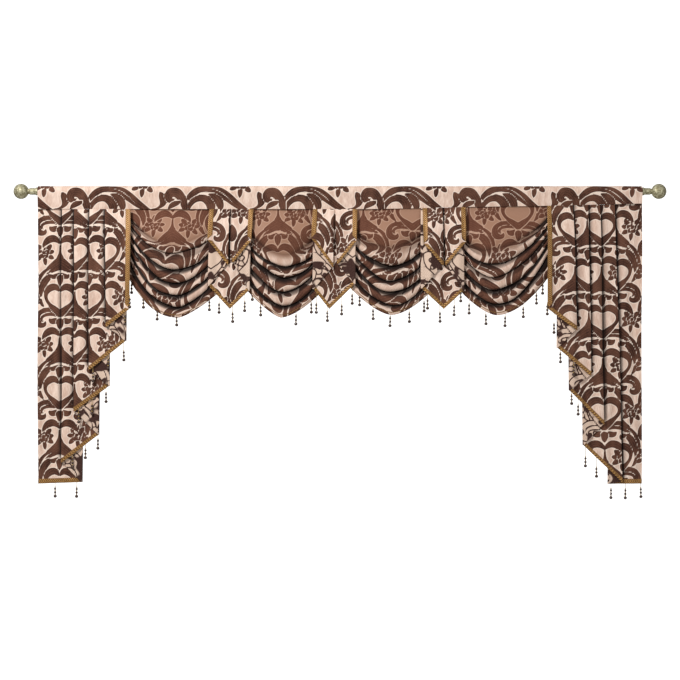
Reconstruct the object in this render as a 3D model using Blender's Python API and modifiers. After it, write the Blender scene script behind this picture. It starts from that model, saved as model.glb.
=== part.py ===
"""Waterfall valance on a curtain rod, as the pieces that a maker cuts, sews and fits.

Metres, +Z up. The origin is on the rod's axis at the middle of the rod. X runs along
the rod, and the face of the valance looks along -Y.

A rod with two ball finials carries one pocketed heading. Four side-gathered swags hang
from the heading's bottom seam. Three folded jabots hang in front of the places where
two swags meet, and a pleated cascade tail hangs at each end. Every tail, jabot and swag
has its own braid with the bead tassels that hang from it, as one comb along its edge.
"""
import math

import bpy
from mathutils import Vector

MM = 0.001

CLOTH = 1.5 * MM
BRAID = 1.2 * MM
BRAID_GAP = 0.9 * MM
SWAG_BRAID_GAP = 1.2 * MM
BRAID_WIDTH = 20 * MM
TASSEL_WIDTH = 4 * MM
TASSEL_MARGIN = 1 * MM
TOUCHING_GAP = 0.3 * MM

ROD_RADIUS = 15.5 * MM
ROD_LENGTH = 2.5018
ROD_SIDES = 24
POCKET_CLEARANCE = 2.6 * MM
SEAM_Y = -10 * MM
SEAM_FOLD = 2.2 * MM
POCKET_ARC_STEPS = 12
SEAM_STITCHES = 0.2 * MM

# The heading's seam from its left end to its right end, in mm. The columns are x and z.
SEAM_LINE = (
    (-1250, -74.0),
    (120, -74.0),
    (210, -72.5),
    (540, -65.0),
    (850, -60.5),
    (1250, -51.0),
)
HUNG_TOP_Z = SEAM_LINE[0][1] * MM - TOUCHING_GAP - SEAM_STITCHES

FINIAL_BALL_RADIUS = 31.5 * MM
FINIAL_BALL_CENTRE = 68.5 * MM
FINIAL_STEPS = 20
FINIAL_BALL_STEPS = 8
MERGE_DISTANCE = 0.01 * MM
SHARP_ANGLE = math.radians(35)

# The stem of a finial from the ball down to the collar beside the cloth, in mm. The
# columns are the radius and the distance from the collar's face.
FINIAL_STEM = (
    (11.0, 34.0),
    (14.0, 31.0),
    (14.0, 8.5),
    (16.5, 7.5),
    (16.5, 0.0),
)

# One row for each fold of a pleated piece, along the cut cloth from one free edge to the
# other, in mm. The columns are x_top at the seam, x_hem and z_hem.
TAIL_LEFT_FOLDS = (
    (-865, -865, -487),
    (-971, -962, -561),
    (-877, -881, -619),
    (-1034, -1037, -739),
    (-935, -950, -806),
    (-1099, -1098, -909),
    (-990, -993, -1006),
    (-1149, -1151, -1122),
    (-1057, -1066, -1203),
    (-1250, -1250, -1209),
)
TAIL_RIGHT_FOLDS = (
    (855, 855, -485),
    (962, 977, -574),
    (890, 893, -648),
    (1026, 1034, -761),
    (942, 942, -823),
    (1076, 1089, -964),
    (997, 1003, -1049),
    (1137, 1169, -1202),
    (1098, 1107, -1210),
    (1250, 1248, -1209),
)
JABOT_1_FOLDS = (
    (-540, -546, -201),
    (-455, -461, -305),
    (-536, -544, -392),
    (-453, -453, -487),
    (-364, -372, -412),
    (-447, -443, -295),
    (-357, -365, -205),
)
JABOT_2_FOLDS = (
    (-112, -120, -195),
    (-25, -29, -315),
    (-108, -112, -404),
    (-36, -43, -487),
    (66, 64, -386),
    (-17, -12, -302),
    (72, 68, -205),
)
JABOT_3_FOLDS = (
    (341, 343, -218),
    (424, 425, -307),
    (335, 333, -402),
    (428, 428, -487),
    (513, 511, -414),
    (434, 434, -307),
    (519, 518, -210),
)

# How many layers in front of the rearmost one each panel between two folds hangs.
TAIL_LEVELS = (8, 7, 6, 5, 4, 3, 2, 1, 0)
JABOT_LEVELS = (2, 1, 0, 0, 1, 2)
ROWS_TAIL = 7
ROWS_JABOT = 6

# How the layers of a pleated piece open below the seam: the rearmost layer's place at
# the seam and further down, the distance between layers at the seam and further down,
# and the drop over which both change.
TAIL_STACK = {"back_top": 3 * MM, "back_low": 4 * MM, "pitch_top": 2.4 * MM,
              "pitch_low": 7.2 * MM, "opens_over": 120 * MM}
JABOT_STACK = {"back_top": 9 * MM, "back_low": 36 * MM, "pitch_top": 2.4 * MM,
               "pitch_low": 7.4 * MM, "opens_over": 60 * MM}

# Tassels of a pleated piece, in mm. The columns are the panel they hang from, x and
# z_bottom of the lowest bead.
TAIL_LEFT_TASSELS = (
    (0, -884, -556),
    (2, -890, -704),
    (2, -955, -736),
    (2, -1022, -790),
    (4, -961, -876),
    (4, -1022, -925),
    (4, -1082, -960),
    (6, -996, -1069),
    (6, -1048, -1108),
    (6, -1106, -1146),
    (8, -1088, -1269),
    (8, -1179, -1268),
)
TAIL_RIGHT_TASSELS = (
    (0, 882, -591),
    (2, 904, -712),
    (2, 962, -764),
    (4, 951, -884),
    (4, 979, -928),
    (6, 1013, -1142),
    (6, 1059, -1185),
    (8, 1117, -1274),
    (8, 1178, -1275),
    (8, 1243, -1270),
)
JABOT_1_TASSELS = (
    (2, -499, -508),
    (3, -441, -546),
    (3, -388, -501),
)
JABOT_2_TASSELS = (
    (2, -99, -508),
    (2, -52, -542),
    (3, 11, -515),
    (3, 55, -471),
)
JABOT_3_TASSELS = (
    (2, 359, -491),
    (2, 410, -545),
    (3, 474, -518),
    (3, 500, -461),
)

# One row for each crease of a swag from the first below the flat top down to the hem, in
# mm. The columns are z_left, x_mid and z_mid of its lowest point, z_right, and how deep
# it is from 0 to 1: deep_left, deep_mid and deep_right.
SWAG_1_CREASES = (
    (-80, -694, -222, -119, 1.0, 0.2, 0.1),
    (-100, -690, -254, -160, 1.0, 0.5, 0.6),
    (-127, -682, -317, -206, 1.0, 1.0, 1.0),
    (-156, -674, -371, -250, 1.0, 1.0, 1.0),
    (-190, -672, -425, -292, 1.0, 1.0, 1.0),
    (-235, -670, -472, -340, 1.0, 1.0, 0.8),
    (-320, -665, -523, -408, 0.3, 0.2, 0.3),
)
SWAG_2_CREASES = (
    (-122, -224, -263, -138, 1.0, 0.8, 1.0),
    (-170, -226, -307, -200, 1.0, 1.0, 1.0),
    (-214, -228, -350, -238, 1.0, 1.0, 1.0),
    (-264, -232, -408, -282, 1.0, 0.9, 1.0),
    (-312, -236, -470, -328, 1.0, 1.0, 0.9),
    (-379, -243, -523, -396, 0.3, 0.2, 0.3),
)
SWAG_3_CREASES = (
    (-108, 204, -237, -128, 1.0, 0.7, 0.9),
    (-158, 206, -300, -180, 1.0, 1.0, 1.0),
    (-198, 208, -360, -242, 1.0, 1.0, 1.0),
    (-240, 210, -412, -290, 1.0, 1.0, 1.0),
    (-297, 211, -466, -338, 1.0, 0.9, 1.0),
    (-371, 211, -512, -396, 0.3, 0.2, 0.3),
)
SWAG_4_CREASES = (
    (-127, 604, -246, -88, 0.9, 0.6, 1.0),
    (-168, 612, -296, -116, 1.0, 0.8, 1.0),
    (-206, 622, -346, -146, 0.8, 0.7, 1.0),
    (-252, 634, -402, -180, 1.0, 1.0, 1.0),
    (-309, 640, -460, -222, 1.0, 1.0, 1.0),
    (-375, 645, -513, -318, 0.3, 0.2, 0.3),
)

# The columns are the name, the creases, x_left and x_right of the ends in mm, and how
# bluntly the hem's curve meets the middle from both sides, blunt_left and blunt_right.
SWAGS = (
    ("swag_1", SWAG_1_CREASES, -894, -488, 2.25, 1.35),
    ("swag_2", SWAG_2_CREASES, -412, -58, 1.35, 1.60),
    ("swag_3", SWAG_3_CREASES, 16, 393, 1.55, 1.70),
    ("swag_4", SWAG_4_CREASES, 463, 881, 1.55, 1.85),
)
SWAG_STEPS = 8
FLAT_TOP_BLUNT = 1.9
SWAG_BACK = 4.5 * MM
SWAG_END_FORWARD = 10 * MM
SWAG_MID_FORWARD = 50 * MM
SWAG_FORWARD_POWER = 1.35
SWAG_FORWARD_OVER = 120 * MM
CREASE_SHARE = 0.72
CREASE_RATIO = 0.62
CREASE_SPREAD = 2

# How a fold leaves the crease above it, turns into the crease below it, and hangs over
# that crease, as powers of the share of its height.
UPPER_TURN = 5
LOWER_TURN = 12
LIP_DROP = 2.1
LIP_RISE = 4
LIP_FALL = 0.8
LIP_FULL_DEPTH = 20 * MM
FLAT_TOP_ROWS = (0.0, 0.5, 0.86)
FOLD_ROWS = (0.0, 0.25, 0.6, 0.88)

# The columns are the name, the tassels as x and z_bottom of the lowest bead, and how far
# the braid shows below the hem: show_left, show_mid and show_right, all in mm.
SWAG_BRAID_SHARE = 0.8
SWAG_TRIMS = (
    ("trim_swag_1", ((-862, -426), (-813, -487), (-753, -536), (-673, -560), (-539, -497)), 0, 0, 0),
    ("trim_swag_2", ((-363, -455), (-329, -519), (-180, -556), (-118, -507)), 0, 0, 0),
    ("trim_swag_3", ((80, -477), (135, -534), (207, -563), (286, -546), (348, -502)), 0, 0, 0),
    ("trim_swag_4", ((532, -511), (600, -555), (681, -563), (756, -526), (812, -470), (839, -429)),
     0, 0, 12),
)

BROWN_CLOTH = (0.36, 0.25, 0.20, 1.0)
GOLD_BRAID = (0.45, 0.28, 0.09, 1.0)
AGED_BRASS = (0.47, 0.42, 0.27, 1.0)

COLLECTION = "waterfall_valance"


def remove_everything():
    """Start from a scene with no objects in it."""
    for thing in list(bpy.data.objects):
        bpy.data.objects.remove(thing, do_unlink=True)


def make_collection():
    """The collection that holds every part."""
    collection = bpy.data.collections.new(COLLECTION)
    bpy.context.scene.collection.children.link(collection)
    return collection


def make_material(name, colour, roughness, metallic):
    """A plain Principled material."""
    material = bpy.data.materials.new(name)
    material.use_nodes = True
    shader = material.node_tree.nodes["Principled BSDF"]
    shader.inputs["Base Color"].default_value = colour
    shader.inputs["Roughness"].default_value = roughness
    shader.inputs["Metallic"].default_value = metallic
    return material


def dress_cloth(thing):
    """Give a cloth piece its own brown fabric."""
    thing.data.materials.append(make_material(thing.name + "_fabric", BROWN_CLOTH, 0.85, 0.0))


def dress_braid(thing):
    """Give a trim its own gold braid."""
    thing.data.materials.append(make_material(thing.name + "_gold", GOLD_BRAID, 0.6, 0.3))


def dress_metal(thing):
    """Give a rod or finial its own aged brass."""
    thing.data.materials.append(make_material(thing.name + "_brass", AGED_BRASS, 0.35, 0.9))


def mesh_object(collection, name, points, faces):
    """An object from points and faces."""
    mesh = bpy.data.meshes.new(name)
    mesh.from_pydata([tuple(point) for point in points], [], faces)
    mesh.validate()
    thing = bpy.data.objects.new(name, mesh)
    collection.objects.link(thing)
    return thing


def thicken(thing, thickness):
    """Give an open sheet its thickness, half to each side."""
    solidify = thing.modifiers.new("thickness", "SOLIDIFY")
    solidify.thickness = thickness
    solidify.offset = 0.0


def mix(start, end, share):
    """The value a share of the way from start to end."""
    return start + (end - start) * share


def ease(value):
    """A smooth step from 0 to 1."""
    value = min(max(value, 0.0), 1.0)
    return value * value * (3.0 - 2.0 * value)


def seam_height(x):
    """The height of the heading's seam at x."""
    for start, end in zip(SEAM_LINE, SEAM_LINE[1:]):
        if x <= end[0] * MM:
            break
    return mix(start[1], end[1], (x / MM - start[0]) / (end[0] - start[0])) * MM


def hung_top(x):
    """The height of the top edge of what hangs from the seam at x."""
    return seam_height(x) - TOUCHING_GAP - SEAM_STITCHES


def opening(z, over):
    """How far folds have opened at a height, from 0 at the seam towards 1."""
    return 1.0 - math.exp(-max(HUNG_TOP_Z - z, 0.0) / over)


class PleatedSheet:
    """A sheet folded back and forth, as a grid of points from the seam to the hem.

    A column is a line down the cloth. Each has its fold's places at the seam and the
    hem, a shift to one side in units of half a fold and the layer that it hangs in.
    """

    def __init__(self, folds, levels, stack, rows):
        self.folds = [[value * MM for value in row] for row in folds]
        self.levels = levels
        self.stack = stack
        self.rows = rows
        self.columns = []
        self.panels = []
        self.edge_columns = []
        self.lay_columns()
        self.points = [self.column_points(column) for column in self.columns]
        self.faces_front = self.folds[1][0] < self.folds[0][0]
        self.normals = grid_normals(self.points)

    def lay_columns(self):
        """List the columns of every panel and of every rounded fold between two panels."""
        last = len(self.levels) - 1
        for panel, level in enumerate(self.levels):
            start = self.folds[panel]
            end = self.folds[panel + 1]
            way = math.copysign(1.0, end[0] - start[0])
            folded_before = panel > 0 and self.levels[panel - 1] != level
            folded_after = panel < last and self.levels[panel + 1] != level
            if panel == 0 or folded_before:
                self.add_column(start, way if folded_before else 0.0, level, panel)
            if panel == 0:
                self.add_inset(start, end, level, panel)
            if panel == last:
                self.add_inset(end, start, level, panel)
            self.add_column(end, -way if folded_after else 0.0, level, panel)
            if folded_after:
                halfway = (level + self.levels[panel + 1]) / 2
                self.add_column(end, 0.0, halfway, None)

    def add_column(self, fold, shift, level, panel):
        """Add one column."""
        self.columns.append((fold, shift, level))
        self.panels.append(panel)

    def add_inset(self, edge, other, level, panel):
        """Add the column along the inner side of the braid on a free edge."""
        inset = math.copysign(BRAID_WIDTH, other[0] - edge[0])
        share = abs(BRAID_WIDTH / (other[1] - edge[1]))
        fold = (edge[0] + inset, edge[1] + inset, mix(edge[2], other[2], share))
        self.add_column(fold, 0.0, level, panel)

    def column_points(self, column):
        """The points of one column, from the seam down."""
        (x_top, x_hem, z_hem), shift, level = column
        points = []
        for row in range(self.rows + 1):
            share = row / self.rows
            z = mix(hung_top(x_top), z_hem, share)
            opened = opening(z, self.stack["opens_over"])
            pitch = mix(self.stack["pitch_top"], self.stack["pitch_low"], opened)
            back = mix(self.stack["back_top"], self.stack["back_low"], opened)
            x = mix(x_top, x_hem, share) + shift * pitch / 2
            points.append(Vector((x, -(back + level * pitch), z)))
        return points

    def outward(self, column, row):
        """The normal on the face side of the cloth, whichever way the first panel runs."""
        normal = self.normals[column][row]
        return normal if self.faces_front else -normal


def grid_normals(points):
    """A normal at each point of a grid, from the faces around it."""
    columns = len(points)
    rows = len(points[0])
    normals = [[Vector() for _ in range(rows)] for _ in range(columns)]
    for column in range(columns - 1):
        for row in range(rows - 1):
            corners = ((column, row), (column + 1, row), (column + 1, row + 1), (column, row + 1))
            a, b, c, d = (points[i][j] for i, j in corners)
            face = (c - a).cross(d - b).normalized()
            for i, j in corners:
                normals[i][j] += face
    return [[normal.normalized() for normal in column] for column in normals]


def grid_sheet(collection, name, points):
    """An open sheet through a grid of points."""
    rows = len(points[0])
    flat = [point for column in points for point in column]
    faces = []
    for column in range(len(points) - 1):
        for row in range(rows - 1):
            corner = column * rows + row
            faces.append((corner, corner + rows, corner + rows + 1, corner + 1))
    sheet = mesh_object(collection, name, flat, faces)
    thicken(sheet, CLOTH)
    return sheet


class Ribbon:
    """A braid with hanging tassels: stations with an edge point and an inner point."""

    def __init__(self):
        self.stations = []

    def add(self, edge, inner, hang_to=None):
        """Add a station. A tassel hangs between it and the next one if hang_to is a height."""
        self.stations.append((edge, inner, hang_to))

    def build(self, collection, name):
        """Make the braid and its tassels as one sheet and thicken it."""
        points = []
        faces = []
        corners = []
        for edge, inner, _ in self.stations:
            if corners and inner == self.stations[len(corners) - 1][1]:
                inner_index = corners[-1][1]
            else:
                inner_index = len(points)
                points.append(inner)
            corners.append((len(points), inner_index))
            points.append(edge)
        for station in range(len(self.stations) - 1):
            edge, inner = corners[station]
            next_edge, next_inner = corners[station + 1]
            if inner == next_inner:
                faces.append((edge, inner, next_edge))
            else:
                faces.append((edge, inner, next_inner, next_edge))
            bottom = self.stations[station][2]
            if bottom is not None:
                first = len(points)
                for index in (edge, next_edge):
                    points.append(Vector((points[index].x, points[index].y, bottom)))
                faces.append((edge, next_edge, first + 1, first))
        ribbon = mesh_object(collection, name, points, faces)
        thicken(ribbon, BRAID)
        return ribbon


def between(first, second, share):
    """The station a share of the way between two stations."""
    return tuple(mix(here, there, share) for here, there in zip(first, second))


def add_run(ribbon, first, second, hangers):
    """Add the stations of one stretch, with two close together where a tassel hangs.

    hangers lists the tassels of the stretch as x and the height of the lowest bead.
    """
    ribbon.add(*first)
    span = second[0].x - first[0].x
    shares = []
    for x, bottom in hangers:
        middle = (x - first[0].x) / span
        half = abs(TASSEL_WIDTH / 2 / span)
        margin = half + abs(TASSEL_MARGIN / span)
        middle = min(max(middle, margin), 1.0 - margin)
        shares.append((middle - half, middle + half, bottom))
    for start, end, bottom in sorted(shares):
        ribbon.add(*between(first, second, start), hang_to=bottom)
        ribbon.add(*between(first, second, end))


def pleated_trim(collection, name, sheet, tassels):
    """The braid along the free edges and the hem of a pleated sheet, with its tassels.

    A jabot has braid up both free edges. A tail has it up the inner edge only.
    """
    lift = CLOTH / 2 + BRAID_GAP + BRAID / 2
    rows = sheet.rows
    last = len(sheet.columns) - 1
    both_edges = sheet.levels[0] == sheet.levels[-1]

    def lifted(column, row):
        return sheet.points[column][row] + sheet.outward(column, row) * lift

    def hem_station(column, inner_column=None):
        inner_column = column if inner_column is None else inner_column
        foot = lifted(inner_column, rows)
        above = lifted(inner_column, rows - 1)
        share = BRAID_WIDTH / (foot - above).length
        return lifted(column, rows), mix(foot, above, share)

    ribbon = Ribbon()
    for row in range(rows):
        ribbon.add(lifted(0, row), lifted(1, row))
    columns = list(range(last + 1))
    stations = [hem_station(column) for column in columns]
    stations[0] = hem_station(0, inner_column=1)
    if both_edges:
        stations[-1] = hem_station(last, inner_column=last - 1)
    for index in range(len(columns) - 1):
        here = sheet.panels[columns[index]]
        hangers = []
        if here is not None and here == sheet.panels[columns[index + 1]]:
            ends = (stations[index][0].x, stations[index + 1][0].x)
            hangers = [(x * MM, z * MM) for panel, x, z in tassels
                       if panel == here and min(ends) < x * MM <= max(ends)]
        add_run(ribbon, stations[index], stations[index + 1], hangers)
    ribbon.add(*stations[-1])
    if both_edges:
        for row in reversed(range(rows)):
            ribbon.add(lifted(last, row), lifted(last - 1, row))
    return ribbon.build(collection, name)


class Swag:
    """A side-gathered swag as a grid of points, with rolled folds that hang over creases."""

    def __init__(self, creases, x_left, x_right, blunt_left, blunt_right):
        self.creases = [[value * MM for value in row[:4]] + list(row[4:]) for row in creases]
        self.x_left = x_left * MM
        self.x_right = x_right * MM
        self.blunt_left = blunt_left
        self.blunt_right = blunt_right
        self.points = [self.column_points(step / SWAG_STEPS) for step in range(SWAG_STEPS + 1)]
        self.normals = grid_normals(self.points)

    def crease_height(self, index, x):
        """The height of one crease at x."""
        z_left, x_mid, z_mid, z_right = self.creases[index][:4]
        share = index / (len(self.creases) - 1)
        if x < x_mid:
            blunt = mix(FLAT_TOP_BLUNT, self.blunt_left, share)
            return mix(z_mid, z_left, ((x_mid - x) / (x_mid - self.x_left)) ** blunt)
        blunt = mix(FLAT_TOP_BLUNT, self.blunt_right, share)
        return mix(z_mid, z_right, ((x - x_mid) / (self.x_right - x_mid)) ** blunt)

    def forward(self, across):
        """How far the swag's folds reach out at a place across it."""
        return mix(SWAG_END_FORWARD, SWAG_MID_FORWARD, math.sin(math.pi * across) ** SWAG_FORWARD_POWER)

    def crease_depths(self, heights, across):
        """How deep each crease is at a place across the swag."""
        depths = []
        for index, row in enumerate(self.creases):
            deep_left, deep_mid, deep_right = row[4:]
            side = deep_left if across < 0.5 else deep_right
            strength = mix(deep_mid, side, abs(2 * across - 1) ** CREASE_SPREAD)
            above = heights[max(index - 1, 0)]
            below = heights[min(index + 1, len(heights) - 1)]
            pitch = (above - below) / 2
            depths.append(strength * min(CREASE_SHARE * self.forward(across), CREASE_RATIO * pitch))
        return depths

    def place(self, x, across, z, sunk):
        """A point of the cloth at a height, sunk back by a crease."""
        reach = self.forward(across) * ease((HUNG_TOP_Z - z) / SWAG_FORWARD_OVER)
        sunk = min(sunk, CREASE_SHARE * reach)
        return Vector((x, -(SWAG_BACK + reach - sunk), z))

    def column_points(self, across):
        """The points of one column, from the seam to the hem."""
        x = mix(self.x_left, self.x_right, across)
        heights = [self.crease_height(index, x) for index in range(len(self.creases))]
        depths = self.crease_depths(heights, across)
        points = []
        for share in FLAT_TOP_ROWS:
            sunk = depths[0] * share ** LOWER_TURN
            points.append(self.place(x, across, mix(hung_top(x), heights[0], share), sunk))
        for fold in range(len(heights) - 1):
            top, bottom = heights[fold], heights[fold + 1]
            upper, lower = depths[fold], depths[fold + 1]
            lip = LIP_DROP * min(lower / LIP_FULL_DEPTH, 1.0) if fold < len(heights) - 2 else 0.0
            for share in FOLD_ROWS:
                hang = lip * share ** LIP_RISE * (1.0 - share) ** LIP_FALL
                sunk = upper * (1.0 - share) ** UPPER_TURN + lower * share ** LOWER_TURN
                points.append(self.place(x, across, mix(top, bottom, share + hang), sunk))
        points.append(self.place(x, across, heights[-1], depths[-1]))
        return points


def swag_trim(collection, name, swag, tassels, shows):
    """The braid behind a swag's hem, with the tassels that hang below the hem."""
    drop = CLOTH / 2 + SWAG_BRAID_GAP + BRAID / 2
    hem = len(swag.points[0]) - 1
    show_left, show_mid, show_right = (value * MM for value in shows)
    stations = []
    for column, points in enumerate(swag.points):
        across = column / SWAG_STEPS
        show = mix(show_mid, show_left if across < 0.5 else show_right, abs(2 * across - 1))
        normal = swag.normals[column]
        back_hem = normal[hem] if normal[hem].y > 0 else -normal[hem]
        back_above = normal[hem - 1] if normal[hem - 1].y > 0 else -normal[hem - 1]
        edge = points[hem] + back_hem * drop
        above = points[hem - 1] + back_above * drop
        up = (above - edge).normalized()
        reach = min(BRAID_WIDTH - show, SWAG_BRAID_SHARE * (above - edge).length)
        stations.append((edge - up * show, edge + up * reach))
    ribbon = Ribbon()
    for first, second in zip(stations, stations[1:]):
        hangers = [(x * MM, z * MM) for x, z in tassels
                   if first[0].x < x * MM <= second[0].x]
        add_run(ribbon, first, second, hangers)
    ribbon.add(*stations[-1])
    return ribbon.build(collection, name)


def build_rod(collection):
    """The rod inside the pocket."""
    bpy.ops.mesh.primitive_cylinder_add(vertices=ROD_SIDES, radius=ROD_RADIUS, depth=ROD_LENGTH)
    rod = bpy.context.object
    rod.name = "rod"
    rod.rotation_euler = (0.0, math.pi / 2, 0.0)
    for holder in list(rod.users_collection):
        holder.objects.unlink(rod)
    collection.objects.link(rod)
    rod.data.shade_smooth()
    rod.data.set_sharp_from_angle(angle=SHARP_ANGLE)
    dress_metal(rod)


def finial_profile():
    """The outline of a finial from the top of its ball down to its flat collar."""
    neck_radius = FINIAL_STEM[0][0] * MM
    ball_end = math.pi - math.asin(neck_radius / FINIAL_BALL_RADIUS)
    outline = []
    for step in range(FINIAL_BALL_STEPS + 1):
        angle = ball_end * step / FINIAL_BALL_STEPS
        radius = FINIAL_BALL_RADIUS * math.sin(angle)
        height = FINIAL_BALL_CENTRE + FINIAL_BALL_RADIUS * math.cos(angle)
        outline.append((radius, 0.0, height))
    outline.extend((radius * MM, 0.0, height * MM) for radius, height in FINIAL_STEM)
    outline.append((0.0, 0.0, 0.0))
    return outline


def build_finial(collection, name, side):
    """A ball finial turned about its own axis and laid along the rod."""
    outline = finial_profile()
    mesh = bpy.data.meshes.new(name)
    mesh.from_pydata(outline, [(i, i + 1) for i in range(len(outline) - 1)], [])
    finial = bpy.data.objects.new(name, mesh)
    collection.objects.link(finial)
    turned = finial.modifiers.new("turned", "SCREW")
    turned.steps = FINIAL_STEPS
    turned.render_steps = FINIAL_STEPS
    turned.use_merge_vertices = True
    turned.merge_threshold = MERGE_DISTANCE
    finial.rotation_euler = (0.0, side * math.pi / 2, 0.0)
    finial.location = (side * (ROD_LENGTH / 2 + TOUCHING_GAP), 0.0, 0.0)
    dress_metal(finial)


def pocket_section(seam_z):
    """The loop of the pocket's cloth: over the rod and down to the seam on both sides."""
    radius = ROD_RADIUS + POCKET_CLEARANCE + CLOTH / 2
    bottom = seam_z + CLOTH / 2
    front_foot = (SEAM_Y - SEAM_FOLD / 2, bottom)
    back_foot = (SEAM_Y + SEAM_FOLD / 2, bottom)
    start = tangent_angle(back_foot, radius, 1.0)
    end = tangent_angle(front_foot, radius, -1.0)
    loop = [back_foot]
    for step in range(POCKET_ARC_STEPS + 1):
        angle = mix(start, end, step / POCKET_ARC_STEPS)
        loop.append((radius * math.cos(angle), radius * math.sin(angle)))
    loop.append(front_foot)
    return loop


def tangent_angle(foot, radius, side):
    """Where on the circle around the rod a straight fall from the foot touches it."""
    distance = math.hypot(*foot)
    towards = math.atan2(foot[1], foot[0])
    angle = towards + side * math.acos(radius / distance)
    return angle if side > 0 else angle + 2 * math.pi


def build_heading(collection):
    """The pocketed heading, as one tube of cloth closed at its bottom seam."""
    points = []
    faces = []
    for x, seam_z in SEAM_LINE:
        loop = pocket_section(seam_z * MM)
        points.extend(Vector((x * MM, y, z)) for y, z in loop)
    size = len(loop)
    for step in range(len(SEAM_LINE) - 1):
        for index in range(size):
            here = step * size + index
            following = step * size + (index + 1) % size
            faces.append((here, here + size, following + size, following))
    heading = mesh_object(collection, "heading", points, faces)
    thicken(heading, CLOTH)
    dress_cloth(heading)


def build_pleated(collection, name, folds, levels, stack, rows, tassels):
    """A pleated tail or jabot and its trim."""
    sheet = PleatedSheet(folds, levels, stack, rows)
    dress_cloth(grid_sheet(collection, name, sheet.points))
    dress_braid(pleated_trim(collection, "trim_" + name, sheet, tassels))


def build_swags(collection):
    """The four swags and their trims."""
    for row, trim_row in zip(SWAGS, SWAG_TRIMS):
        name, creases, x_left, x_right, blunt_left, blunt_right = row
        swag = Swag(creases, x_left, x_right, blunt_left, blunt_right)
        dress_cloth(grid_sheet(collection, name, swag.points))
        trim_name, tassels, *shows = trim_row
        dress_braid(swag_trim(collection, trim_name, swag, tassels, shows))


def main():
    remove_everything()
    collection = make_collection()
    build_rod(collection)
    build_finial(collection, "finial_left", -1)
    build_finial(collection, "finial_right", 1)
    build_heading(collection)
    build_swags(collection)
    jabots = ((JABOT_1_FOLDS, JABOT_1_TASSELS), (JABOT_2_FOLDS, JABOT_2_TASSELS),
              (JABOT_3_FOLDS, JABOT_3_TASSELS))
    for number, (folds, tassels) in enumerate(jabots, start=1):
        build_pleated(collection, f"jabot_{number}", folds, JABOT_LEVELS, JABOT_STACK,
                      ROWS_JABOT, tassels)
    build_pleated(collection, "tail_left", TAIL_LEFT_FOLDS, TAIL_LEVELS, TAIL_STACK,
                  ROWS_TAIL, TAIL_LEFT_TASSELS)
    build_pleated(collection, "tail_right", TAIL_RIGHT_FOLDS, TAIL_LEVELS, TAIL_STACK,
                  ROWS_TAIL, TAIL_RIGHT_TASSELS)


main()
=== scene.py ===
"""The looks of a waterfall valance on its rod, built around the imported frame.

Metres, +Z up, the rod along X and the face of the valance towards -Y. The cloth pieces
repeat the folds of the frame's solids on fine grids. A woven damask is drawn once as
fields over one repeat, and each point of cloth reads them at its own place on the flat
cut. Gold braid, threads and beads are modelled. The rod keeps its own mesh.
"""
import math

import bpy
import numpy as np
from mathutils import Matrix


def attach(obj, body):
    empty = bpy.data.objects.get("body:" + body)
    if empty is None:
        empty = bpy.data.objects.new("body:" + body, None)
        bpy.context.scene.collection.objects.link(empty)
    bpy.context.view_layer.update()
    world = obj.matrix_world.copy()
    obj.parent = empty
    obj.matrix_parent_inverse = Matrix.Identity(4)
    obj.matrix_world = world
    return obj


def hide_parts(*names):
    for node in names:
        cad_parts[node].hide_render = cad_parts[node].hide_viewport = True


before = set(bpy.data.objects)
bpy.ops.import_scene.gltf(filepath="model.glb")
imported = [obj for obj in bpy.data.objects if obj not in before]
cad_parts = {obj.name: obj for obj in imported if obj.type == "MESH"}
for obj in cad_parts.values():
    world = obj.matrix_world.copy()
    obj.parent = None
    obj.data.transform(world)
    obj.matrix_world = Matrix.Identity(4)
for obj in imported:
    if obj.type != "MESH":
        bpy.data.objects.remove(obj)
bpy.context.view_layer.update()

MM = 0.001

# Sizes that the frame's solids have too.
CLOTH = 1.5 * MM
BRAID_WIDTH = 20 * MM
HEADING_LENGTH = 2.500
ROD_RADIUS = 15.5 * MM
ROD_LENGTH = 2.5018
POCKET_CLEARANCE = 2.6 * MM
SEAM_Y = -10 * MM
SEAM_FOLD = 2.2 * MM
SEAM_GAP = 0.5 * MM

# The heading's seam from its left end to its right end, in mm: x and z.
SEAM_LINE = (
    (-1250, -74.0),
    (120, -74.0),
    (210, -72.5),
    (540, -65.0),
    (850, -60.5),
    (1250, -51.0),
)
HUNG_TOP_Z = SEAM_LINE[0][1] * MM - SEAM_GAP
SEAM_OVERLAP = 0.35 * MM
SEAM_TUCK = 3 * MM
TOUCHING_GAP = 0.3 * MM
FINIAL_BALL_RADIUS = 31.5 * MM
FINIAL_BALL_CENTRE = 68.5 * MM
FINIAL_STEPS = 30
FINIAL_SIDES = 64

# The stem of a finial from its ball to its collar, in mm: radius and height.
FINIAL_STEM = (
    (11.0, 34.0),
    (12.8, 32.4),
    (13.8, 31.2),
    (14.0, 30.0),
    (14.0, 9.4),
    (14.6, 8.4),
    (15.8, 7.6),
    (16.5, 7.0),
    (16.5, 0.8),
    (16.1, 0.0),
)

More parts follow.
